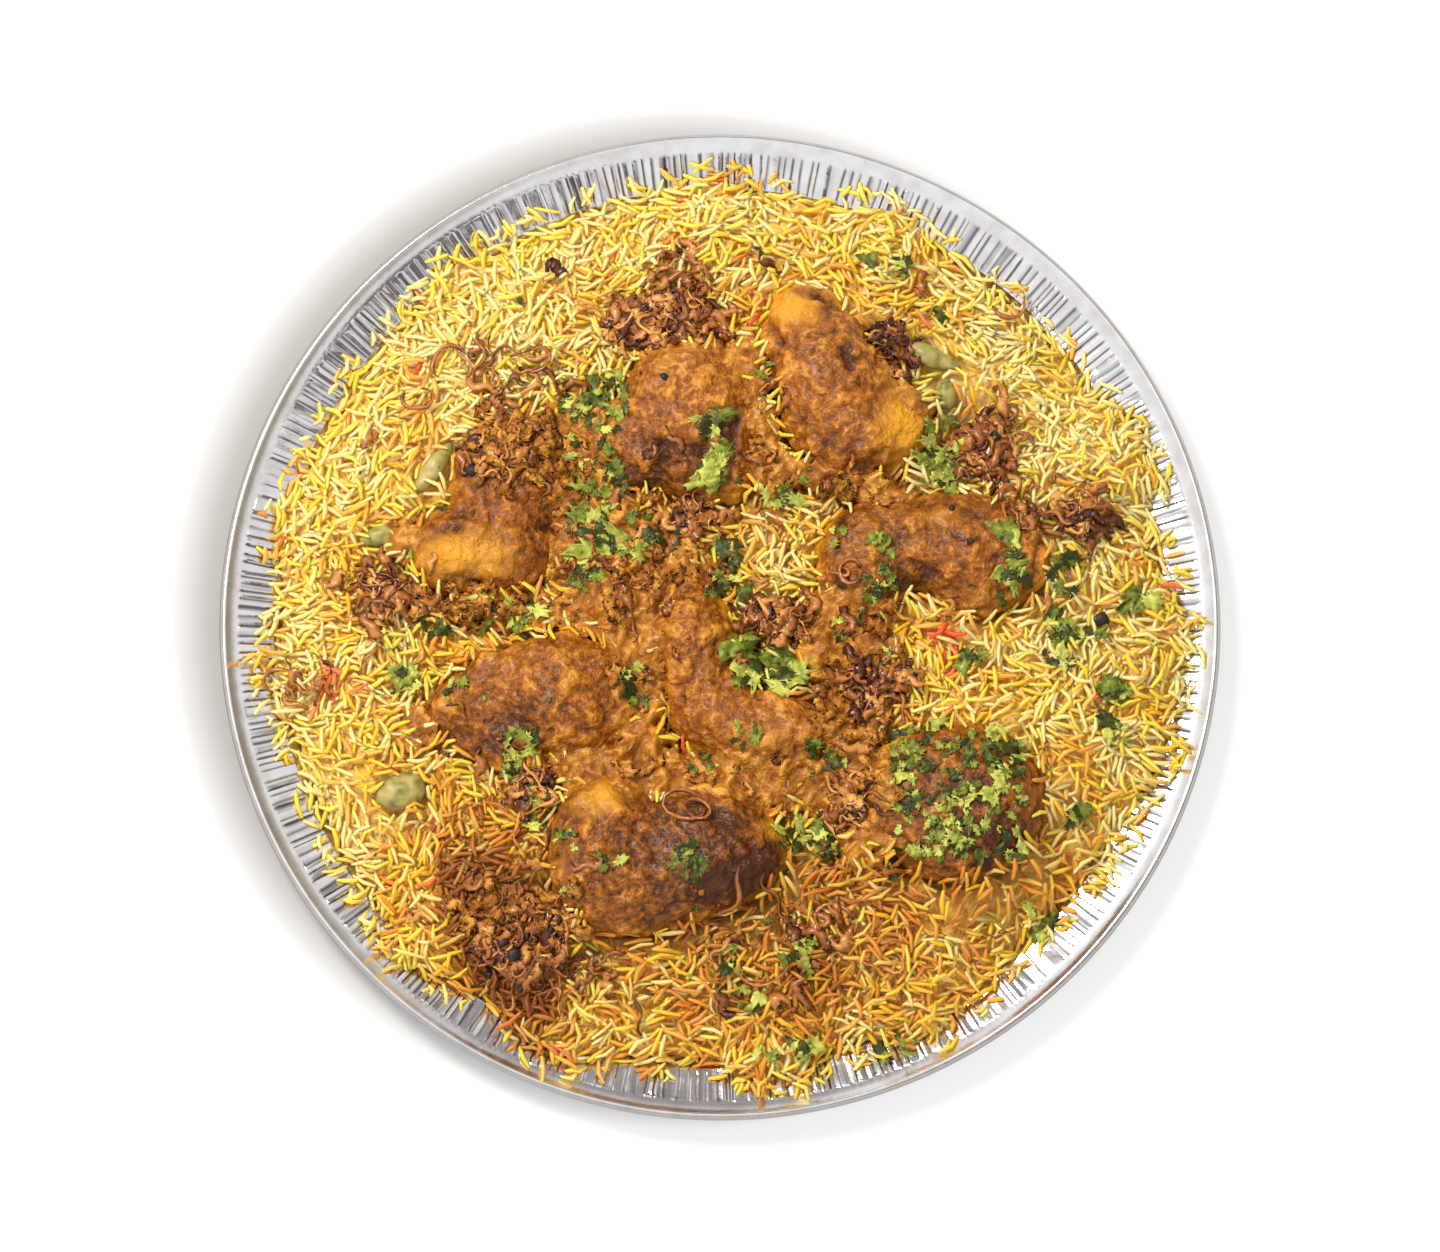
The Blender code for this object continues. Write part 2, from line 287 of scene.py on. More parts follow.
def tree_over(mesh: bpy.types.Mesh) -> BVHTree:
    """A search tree over the faces of a mesh.

    Args:
        mesh: The mesh.

    Returns:
        The tree.
    """
    shape = bmesh.new()
    shape.from_mesh(mesh)
    tree = BVHTree.FromBMesh(shape)
    shape.free()
    return tree


def finer_skin(node: str, voxel: float, rounding: int) -> bpy.types.Mesh:
    """A dense, evenly spaced and rounded skin over a CAD node's solid.

    Args:
        node: Name of the CAD node.
        voxel: Spacing of the new skin's points, in metres.
        rounding: How many times the skin is smoothed.

    Returns:
        The new mesh.
    """
    rough = bpy.data.meshes.new("rough")
    shape = solid_of(node)
    shape.to_mesh(rough)
    shape.free()
    holder = bpy.data.objects.new("holder", rough)
    bpy.context.scene.collection.objects.link(holder)
    curve = holder.modifiers.new("round", "SUBSURF")
    curve.levels = 2
    even = holder.modifiers.new("even", "REMESH")
    even.mode = "VOXEL"
    even.voxel_size = voxel
    ease = holder.modifiers.new("ease", "SMOOTH")
    ease.factor = 0.5
    ease.iterations = rounding
    split = holder.modifiers.new("split", "TRIANGULATE")
    split.min_vertices = 4
    graph = bpy.context.evaluated_depsgraph_get()
    skin = bpy.data.meshes.new_from_object(holder.evaluated_get(graph))
    bpy.data.objects.remove(holder)
    bpy.data.meshes.remove(rough)
    return skin


def points_of(mesh: bpy.types.Mesh) -> tuple[np.ndarray, np.ndarray]:
    """The corners of a mesh and the outward direction at each of them.

    Args:
        mesh: The mesh.

    Returns:
        Places in metres and unit directions, three numbers to a row.
    """
    places = np.empty(len(mesh.vertices) * 3, np.float32)
    mesh.vertices.foreach_get("co", places)
    outward = np.empty(len(mesh.vertices) * 3, np.float32)
    mesh.vertex_normals.foreach_get("vector", outward)
    return places.reshape(-1, 3).astype(float), outward.reshape(-1, 3).astype(float)


def move_points(mesh: bpy.types.Mesh, places: np.ndarray) -> None:
    """Puts the corners of a mesh at new places and shades it smooth.

    Args:
        mesh: The mesh.
        places: The new places in metres, three numbers to a row.
    """
    mesh.vertices.foreach_set("co", places.astype(np.float32).ravel())
    mesh.polygons.foreach_set("use_smooth", np.ones(len(mesh.polygons), bool))
    mesh.update()


# ---------------------------------------------------------------- finishes


def linear(code: str) -> tuple[float, ...]:
    """Turns an sRGB hex colour, such as "#C08A45", into linear red, green, blue and alpha."""
    parts = [int(code[place : place + 2], 16) / 255 for place in (1, 3, 5)]
    return (*(p / 12.92 if p <= 0.04045 else ((p + 0.055) / 1.055) ** 2.4 for p in parts), 1.0)


def add_node(
    tree: bpy.types.NodeTree,
    kind: str,
    links: dict[int | str, object] | None = None,
    stops: Iterable[tuple[float, str]] = (),
    output: int | str = 0,
    **settings: object,
) -> bpy.types.NodeSocket | None:
    """Adds a node with its settings and links.

    Args:
        tree: The tree that it goes into.
        kind: Blender's name for that kind of node, without "ShaderNode" before it.
        links: For each input, the output that feeds it or its own value.
        stops: Places and hex colours along a colour ramp, the first and last ones first.
        output: Which of its outputs is wanted.
        **settings: The node's own properties.

    Returns:
        That output, or None where the node has none.
    """
    node = tree.nodes.new(f"ShaderNode{kind}")
    for name, value in settings.items():
        setattr(node, name, value)
    for name, value in (links or {}).items():
        if isinstance(value, bpy.types.NodeSocket):
            tree.links.new(value, node.inputs[name])
        else:
            node.inputs[name].default_value = value
    for number, (position, code) in enumerate(stops):
        ramp = node.color_ramp.elements
        stop = ramp[number] if number < 2 else ramp.new(position)
        stop.position = position
        stop.color = linear(code)
    return node.outputs[output] if node.outputs else None


class Finish:
    """What a surface is made of and how it was made."""

    name: str

    def surface(self, tree: bpy.types.NodeTree) -> dict[int | str, object]:
        """The inputs of the surface's shader: outputs in the tree, or plain values."""
        raise NotImplementedError

    def material(self) -> bpy.types.Material:
        """Makes a material of the finish.

        Returns:
            The material.
        """
        material = bpy.data.materials.new(self.name)
        material.use_nodes = True
        tree = material.node_tree
        tree.nodes.clear()
        shader = add_node(tree, "BsdfPrincipled", self.surface(tree))
        add_node(tree, "OutputMaterial", {"Surface": shader})
        return material


@dataclass(frozen=True)
class PressedAluminiumFoil(Finish):
    """Bright rolled foil, pressed into a tray: a sharp sheen, with painted shade on the rim's outer
    side.
    """

    name: str = "aluminium_foil_pressed_bright"
    metal: str = "#E6E5E7"
    dull_metal: str = "#D6D3D1"
    # Darker metals for painted shade: on the roll's outer side and in the crease grooves.
    rim_shade_metal: str = "#8E867C"
    fold_shade_metal: str = "#565154"
    roughness: float = 0.16
    rim_roughness: float = 0.18
    haze: float = 9.0 * MM
    crinkle: float = 2.4 * MM
    crinkle_depth: float = 0.06 * MM

    def surface(self, tree: bpy.types.NodeTree) -> dict[int | str, object]:
        """Faint dull streaks and a crinkled relief, with painted shade in the crease grooves and on
        the rim's outer side.

        Args:
            tree: The material's nodes, which it adds to.

        Returns:
            The inputs of the surface's shader.
        """
        spot = add_node(tree, "TexCoord", output="Object")
        haze = {"Vector": spot, "Scale": 1 / self.haze, "Detail": 3.0}
        haze = add_node(tree, "TexNoise", haze)
        tone = add_node(
            tree, "ValToRGB", {"Fac": haze}, ((0.30, self.dull_metal), (0.62, self.metal))
        )
        crinkle = {"Vector": spot, "Scale": 1 / self.crinkle, "Detail": 2.0, "Distortion": 0.6}
        crinkle = add_node(tree, "TexNoise", crinkle)
        relief = {"Height": crinkle, "Distance": self.crinkle_depth, "Strength": 0.7}
        rolled = add_node(tree, "Attribute", output="Fac", attribute_name="rolled")
        gloss = {0: rolled, 1: 0.0, 2: 1.0, 3: self.roughness, 4: self.rim_roughness}
        # Painted shade: the rolled mark past 1 darkens the roll's outer side, and the fold mark
        # darkens the crease grooves.
        rim_shade = add_node(tree, "MapRange", {0: rolled, 1: 1.0, 2: 2.0, 3: 0.0, 4: 0.8})
        fold = add_node(tree, "Attribute", output="Fac", attribute_name="fold")
        for share, metal in ((rim_shade, self.rim_shade_metal), (fold, self.fold_shade_metal)):
            mix = {0: share, 6: tone, 7: linear(metal)}
            tone = add_node(tree, "Mix", mix, output=2, data_type="RGBA")
        return {
            "Base Color": tone,
            "Metallic": 1.0,
            "Roughness": add_node(tree, "MapRange", gloss),
            "Normal": add_node(tree, "Bump", relief),
        }


class RiceKind(Enum):
    """The dyes that a grain of the heap may have taken: pale, middle and deep colour."""

    CREAM = ("#FCDD98", "#F8D07A", "#EFBA56")
    LEMON = ("#FBD55E", "#F6C136", "#EAA920")
    AMBER = ("#F5BC60", "#EAA23E", "#D07A24")
    MASALA = ("#D99E50", "#B87528", "#8A4B14")
    SAFFRON = ("#F4935A", "#EA5E32", "#D03A1E")


@dataclass(frozen=True)
class BoiledRice(Finish):
    """Boiled basmati: moist, faintly see-through grains with a soft, broad shine."""

    kind: RiceKind
    fat: str = "#7C4010"
    glow_depth: float = 3.0 * MM

    @property
    def name(self) -> str:
        """The material's name."""
        return f"boiled_rice_{self.kind.name.lower()}"

    def surface(self, tree: bpy.types.NodeTree) -> dict[int | str, object]:
        """The dye runs from one end of a grain to the other and differs from grain to grain.

        Args:
            tree: The material's nodes, which it adds to.

        Returns:
            The inputs of the surface's shader.
        """
        pale, middle, deep = self.kind.value
        dye = add_node(tree, "Attribute", output="Fac", attribute_name="dye")
        tint = add_node(tree, "ValToRGB", {"Fac": dye}, ((0.0, pale), (1.0, deep), (0.5, middle)))
        grease = add_node(tree, "Attribute", output="Fac", attribute_name="grease")
        mix = {0: grease, 6: tint, 7: linear(self.fat)}
        return {
            "Base Color": add_node(tree, "Mix", mix, output=2, data_type="RGBA"),
            "Roughness": 0.5,
            "IOR": 1.38,
            "Subsurface Weight": 1.0,
            "Subsurface Radius": (1.0, 0.7, 0.35),
            "Subsurface Scale": self.glow_depth,
            "Coat Weight": 0.06,
            "Coat Roughness": 0.3,
        }


@dataclass(frozen=True)
class PackedRice(Finish):
    """The depth of the heap: shaded grains seen in the gaps between the top ones."""

    name: str = "boiled_rice_packed_core"
    shallow: str = "#F8D068"
    deep: str = "#CC9036"
    pale: str = "#FBE290"
    fat: str = "#8A4A14"
    grain: float = 2.8 * MM
    relief_depth: float = 1.5 * MM

    def surface(self, tree: bpy.types.NodeTree) -> dict[int | str, object]:
        """Dark amber grains, drawn as a fine relief and a stain.

        Args:
            tree: The material's nodes, which it adds to.

        Returns:
            The inputs of the surface's shader.
        """
        spot = add_node(tree, "TexCoord", output="Object")
        grains = {"Vector": spot, "Scale": 1 / self.grain, "Detail": 3.0, "Distortion": 1.2}
        grains = add_node(tree, "TexNoise", grains)
        tone = add_node(
            tree, "ValToRGB", {"Fac": grains}, ((0.35, self.deep), (0.65, self.shallow))
        )
        for mark_name, colour in (("pale", self.pale), ("grease", self.fat)):
            share = add_node(tree, "Attribute", output="Fac", attribute_name=mark_name)
            mix = {0: share, 6: tone, 7: linear(colour)}
            tone = add_node(tree, "Mix", mix, output=2, data_type="RGBA")
        relief = {"Height": grains, "Distance": self.relief_depth, "Strength": 0.9}
        return {
            "Base Color": tone,
            "Roughness": 0.6,
            "IOR": 1.38,
            "Subsurface Weight": 0.6,
            "Subsurface Radius": (1.0, 0.7, 0.35),
            "Subsurface Scale": 1.5 * MM,
            "Normal": add_node(tree, "Bump", relief),
        }


@dataclass(frozen=True)
class MasalaCoating(Finish):
    """Meat under a coarse ground masala: wet, grainy and thin enough to show yellow skin."""

    name: str = "chicken_cooked_masala_coated"
    crust: str = "#D08C32"
    body: str = "#96550F"
    # Colour of painted shade, used where the relief mark is low: hollows, creases and shadowed sides.
    hollow_shade: str = "#482204"
    skin: str = "#DC9A22"
    grit: float = 1.1 * MM
    blotch: float = 12.0 * MM
    grit_depth: float = 1.2 * MM

    def surface(self, tree: bpy.types.NodeTree) -> dict[int | str, object]:
        """Hollows and creases carry painted shade, grit is tan, thin places are turmeric yellow and
        all of it is wet.

        Args:
            tree: The material's nodes, which it adds to.

        Returns:
            The inputs of the surface's shader.
        """
        spot = add_node(tree, "TexCoord", output="Object")
        noises = []
        for pitch, detail in ((self.grit * 2.3, 1.0), (self.grit * 1.1, 1.0), (self.blotch, 2.5)):
            noise = {"Vector": spot, "Scale": 1 / pitch, "Detail": detail, "Roughness": 0.5}
            noises.append(add_node(tree, "TexNoise", noise))
        coarse, fine, blotch = noises
        grit = add_node(tree, "Math", {0: fine, 1: 0.45, 2: coarse}, operation="MULTIPLY_ADD")
        relief_and_shade = add_node(tree, "Attribute", output="Fac", attribute_name="relief")
        depth = grit
        for part, share in ((relief_and_shade, 0.7), (blotch, 0.35)):
            parts = {0: part, 1: share, 2: depth}
            depth = add_node(tree, "Math", parts, operation="MULTIPLY_ADD")
        # Low relief maps to the hollow colour, which is painted shade; raised places map to the light
        # crust.
        spread = add_node(tree, "MapRange", {0: depth, 1: 0.76, 2: 1.76, 3: 0.0, 4: 1.0})
        tones = ((0.0, self.hollow_shade), (0.92, self.crust), (0.48, self.body))
        paste = add_node(tree, "ValToRGB", {"Fac": spread}, tones)
        skin = add_node(tree, "Attribute", output="Fac", attribute_name="skin")
        thin = add_node(tree, "Math", {0: grit, 1: -0.72, 2: skin}, operation="MULTIPLY_ADD")
        bare = {0: thin, 1: -0.30, 2: 0.45, 3: 0.0, 4: 0.9}
        bare = {0: add_node(tree, "MapRange", bare), 6: paste, 7: linear(self.skin)}
        relief = {"Height": grit, "Distance": self.grit_depth, "Strength": 1.0}
        return {
            "Base Color": add_node(tree, "Mix", bare, output=2, data_type="RGBA"),
            "Roughness": 0.4,
            "IOR": 1.36,
            "Coat Weight": 0.08,
            "Coat Roughness": 0.2,
            "Normal": add_node(tree, "Bump", relief),
        }


@dataclass(frozen=True)
class StreakedSkin(Finish):
    """A plant's skin, streaked and wrinkled by cooking; a mark may say how far each place has gone."""

    name: str
    tones: tuple[tuple[float, str], ...]
    streak: float
    wrinkle: float
    wrinkle_depth: float
    streak_detail: float = 2.0
    wrinkle_detail: float = 2.0
    wrinkle_strength: float = 0.5
    cooked_mark: str = ""
    streak_share: float = 1.0
    roughness: float = 0.5
    ior: float = 1.45
    oil: float = 0.0
    oil_roughness: float = 0.2

    def surface(self, tree: bpy.types.NodeTree) -> dict[int | str, object]:
        """Streaks set the colour, from raw to overdone, and wrinkles the relief.

        Args:
            tree: The material's nodes, which it adds to.

        Returns:
            The inputs of the surface's shader.
        """
        spot = add_node(tree, "TexCoord", output="Object")
        noises = []
        for pitch, detail in (
            (self.streak, self.streak_detail), (self.wrinkle, self.wrinkle_detail)
        ):
            noise = {"Vector": spot, "Scale": 1 / pitch, "Detail": detail}
            noises.append(add_node(tree, "TexNoise", noise))
        shade = noises[0]
        if self.cooked_mark:
            cooked = add_node(tree, "Attribute", output="Fac", attribute_name=self.cooked_mark)
            parts = {0: shade, 1: self.streak_share, 2: cooked}
            shade = add_node(tree, "Math", parts, operation="MULTIPLY_ADD")
        relief = {"Height": noises[1], "Distance": self.wrinkle_depth}
        relief["Strength"] = self.wrinkle_strength
        return {
            "Base Color": add_node(tree, "ValToRGB", {"Fac": shade}, self.tones),
            "Roughness": self.roughness,
            "IOR": self.ior,
            "Coat Weight": self.oil,
            "Coat Roughness": self.oil_roughness,
            "Normal": add_node(tree, "Bump", relief),
        }


# Fried crisp in oil: amber where thin, near black at the ends, with a hard shine.
FRIED_ONION = StreakedSkin(
    "onion_fried_crisp", ((0.2, "#DC9C50"), (1.0, "#4A2010"), (0.6, "#A4602A")),
    streak=1.6 * MM, wrinkle=1.6 * MM, wrinkle_depth=0.3 * MM, wrinkle_strength=0.6,
    cooked_mark="char", streak_share=0.5, roughness=0.34, ior=1.47, oil=0.3, oil_roughness=0.15,
)
# Stewed soft: dull olive going to tan, waxy and lightly wrinkled.
STEWED_CHILLI = StreakedSkin(
    "green_chilli_stewed", ((0.3, "#6E6430"), (0.7, "#C0A468"), (0.5, "#9C9450")),
    streak=6.0 * MM, wrinkle=2.0 * MM, wrinkle_depth=0.4 * MM, streak_detail=3.0,
    roughness=0.42, ior=1.4, oil=0.12, oil_roughness=0.3,
)
# Chopped fresh leaf: matt and thin, bright green to wilted.
CUT_CORIANDER = StreakedSkin(
    "coriander_chopped", ((0.42, "#C8CC60"), (1.0, "#343C0C"), (0.68, "#86902E")),
    streak=3.2 * MM, wrinkle=3.2 * MM, wrinkle_depth=0.3 * MM,
    cooked_mark="wilt", streak_share=0.7, roughness=0.45, ior=1.42,
)
# Clove and black cardamom, boiled: near black with a brown cast, matt and wrinkled.
WHOLE_SPICE = StreakedSkin(
    "whole_spice_boiled", ((0.4, "#15131A"), (0.7, "#3A2216")),
    streak=1.2 * MM, wrinkle=1.2 * MM, wrinkle_depth=0.5 * MM, streak_detail=3.0,
    wrinkle_detail=3.0, wrinkle_strength=0.8,
)


@dataclass(frozen=True)
class OpalAcrylicFloor(Finish):
    """Opal acrylic sheet lit from below: an even white that keeps shadows on it faint, with a painted
    shadow round the tray.
    """

    name: str = "floor_opal_acrylic_backlit"
    light: str = "#9E9E9E"
    dim: str = "#969696"
    shadow_bearing_deg: float = 150.0
    halo_shift: float = 20.0 * MM
    shadow_halo: tuple[tuple[float, float], ...] = (
        (210.0, 0.05), (217.5, 0.10), (223.5, 0.22), (230.5, 0.37), (240.0, 0.66),
    )

    def surface(self, tree: bpy.types.NodeTree) -> dict[int | str, object]:
        """Painted shadow: the sheet's own light is turned down beside the tray, most on one side.

        Args:
            tree: The material's nodes, which it adds to.

        Returns:
            The inputs of the surface's shader.
        """
        spot = add_node(tree, "TexCoord", output="Object")
        haze = add_node(tree, "TexNoise", {"Vector": spot, "Scale": 3.0, "Detail": 2.0})
        tint = add_node(tree, "ValToRGB", {"Fac": haze}, ((0.3, self.dim), (0.7, self.light)))
        # The dimmed ring is centred off to one side of the tray: a painted shadow, deepest there.
        turn = math.radians(self.shadow_bearing_deg)
        middle = (self.halo_shift * math.cos(turn), self.halo_shift * math.sin(turn), 0.0)
        ends = {0: spot, 1: middle}
        apart = add_node(tree, "VectorMath", ends, output="Value", operation="DISTANCE")
        glow = self.shadow_halo[0][1]
        for (low, weak), (high, strong) in zip(self.shadow_halo[:-1], self.shadow_halo[1:]):
            span = {0: apart, 1: low * MM, 2: high * MM, 3: 0.0, 4: strong - weak}
            step = add_node(tree, "MapRange", span)
            glow = add_node(tree, "Math", {0: step, 1: glow}, operation="ADD")
        return {
            "Base Color": tint,
            "Roughness": 0.7,
            "Emission Color": linear("#FFFFFF"),
            "Emission Strength": glow,
        }


# ---------------------------------------------------------------- studio


def toward(bearing_deg: float, elevation_deg: float) -> tuple[float, float, float]:
    """The direction at a bearing from +X and an elevation above the floor."""
    turn, rise = math.radians(bearing_deg), math.radians(elevation_deg)
    return math.cos(turn) * math.cos(rise), math.sin(turn) * math.cos(rise), math.sin(rise)


@dataclass
class Studio:
    """The pale floor, the soft light from the upper left and the camera above the front."""

    aim_y: float = -1.6 * MM
    aim_z: float = 24.5 * MM
    elevation_deg: float = 80.0
    distance: float = 5.0
    view_half_width: float = 0.3285
    key_bearing_deg: float = 137.0
    key_elevation_deg: float = 61.0
    key_distance: float = 3.0
    key_size: float = 0.8
    key_watts: float = 79.0
    key_colour: str = "#FFF6E8"
    sky: float = 1.03
    bright_side: tuple[tuple[float, str], ...] = (
        (0.0, "#6A6662"), (0.32, "#FFFFFF"), (0.12, "#A8A4A0"), (0.2, "#F0EEEC"),
    )
    dim_side: tuple[tuple[float, str], ...] = (
        (0.0, "#5A5346"), (0.70, "#F4F2F0"), (0.3, "#8A8272"), (0.58, "#B4AA98"),
    )
    dim_bearing_deg: float = 0.0
    dim_reach: tuple[float, float] = (0.1, 0.75)
    flags: tuple[tuple[float, float, float, float, str], ...] = (
        (-32.7, 64.0, 8.0, 13.5, "#6A6266"), (90.0, 47.0, 14.0, 26.0, "#A09A9A"),
    )
    floor_half_width: float = 6.0

    def camera(self) -> None:
        """Sets the camera up on a long lens, so that the tray shows nearly as round as it is."""
        data = bpy.data.cameras.new("camera")
        data.sensor_width = 36.0
        data.lens = data.sensor_width * self.distance / (2 * self.view_half_width)
        data.clip_end = 50.0
        camera = bpy.data.objects.new("camera", data)
        back = Vector(toward(-90.0, self.elevation_deg))
        camera.location = Vector((0.0, self.aim_y, self.aim_z)) + back * self.distance
        camera.rotation_mode = "QUATERNION"
        camera.rotation_quaternion = (-back).to_track_quat("-Z", "Y")
        bpy.context.scene.collection.objects.link(camera)
        bpy.context.scene.camera = camera

    def key_light(self) -> None:
        """Hangs the key light: small enough to give the food crisp, short shadows."""
        data = bpy.data.lights.new("key", "AREA")
        data.shape = "DISK"
        data.size = self.key_size
        data.energy = self.key_watts
        data.color = linear(self.key_colour)[:3]
        lamp = bpy.data.objects.new("key", data)
        ahead = Vector(toward(self.key_bearing_deg, self.key_elevation_deg))
        lamp.location = ahead * self.key_distance
        lamp.rotation_mode = "QUATERNION"
        lamp.rotation_quaternion = ahead.to_track_quat("Z", "Y")
        bpy.context.scene.collection.objects.link(lamp)

    def surroundings(self) -> None:
        """Lights the room: bright overhead, dim low down on one side, with flags hung in it."""
        world = bpy.data.worlds.new("studio")
        world.use_nodes = True
        tree = world.node_tree
        tree.nodes.clear()
        spot = add_node(tree, "TexCoord", output="Generated")
        height = add_node(tree, "SeparateXYZ", {0: spot}, output="Z")
        ends = {0: spot, 1: toward(self.dim_bearing_deg, 0.0)}
        aside = add_node(tree, "VectorMath", ends, output="Value", operation="DOT_PRODUCT")
        low, high = self.dim_reach
        aside = {0: aside, 1: low, 2: high, 3: 0.0, 4: 1.0}
        tones = {0: add_node(tree, "MapRange", aside)}
        tones[6] = add_node(tree, "ValToRGB", {"Fac": height}, self.bright_side)
        tones[7] = add_node(tree, "ValToRGB", {"Fac": height}, self.dim_side)
        tint = add_node(tree, "Mix", tones, output=2, data_type="RGBA")
        for bearing, elevation, inner, outer, shade in self.flags:
            near, far = math.cos(math.radians(inner)), math.cos(math.radians(outer))
            ends = {0: spot, 1: toward(bearing, elevation)}
            flag = add_node(tree, "VectorMath", ends, output="Value", operation="DOT_PRODUCT")
            flag = add_node(tree, "ValToRGB", {"Fac": flag}, ((far, "#FFFFFF"), (near, shade)))
            tones = {0: 1.0, 6: tint, 7: flag}
            tint = add_node(tree, "Mix", tones, output=2, data_type="RGBA", blend_type="MULTIPLY")
        glow = add_node(tree, "Background", {"Color": tint, "Strength": self.sky})
        add_node(tree, "OutputWorld", {"Surface": glow})
        bpy.context.scene.world = world

    def floor(self) -> None:
        """Lays the floor that the tray stands on."""
        half = self.floor_half_width
        corners = np.array([[-half, -half, 0], [half, -half, 0], [half, half, 0], [-half, half, 0]])
        mesh = mesh_of("floor", corners, np.array([[0, 1, 2], [0, 2, 3]]))
        mesh.materials.append(OpalAcrylicFloor().material())
        ground = bpy.data.objects.new("floor", mesh)
        bpy.context.scene.collection.objects.link(ground)

    def build(self) -> None:
        """Builds the whole studio with plain, uncurved tones."""
        bpy.context.scene.view_settings.view_transform = "Standard"
        self.camera()
        self.key_light()
        self.surroundings()
        self.floor()


# ---------------------------------------------------------------- foil tray


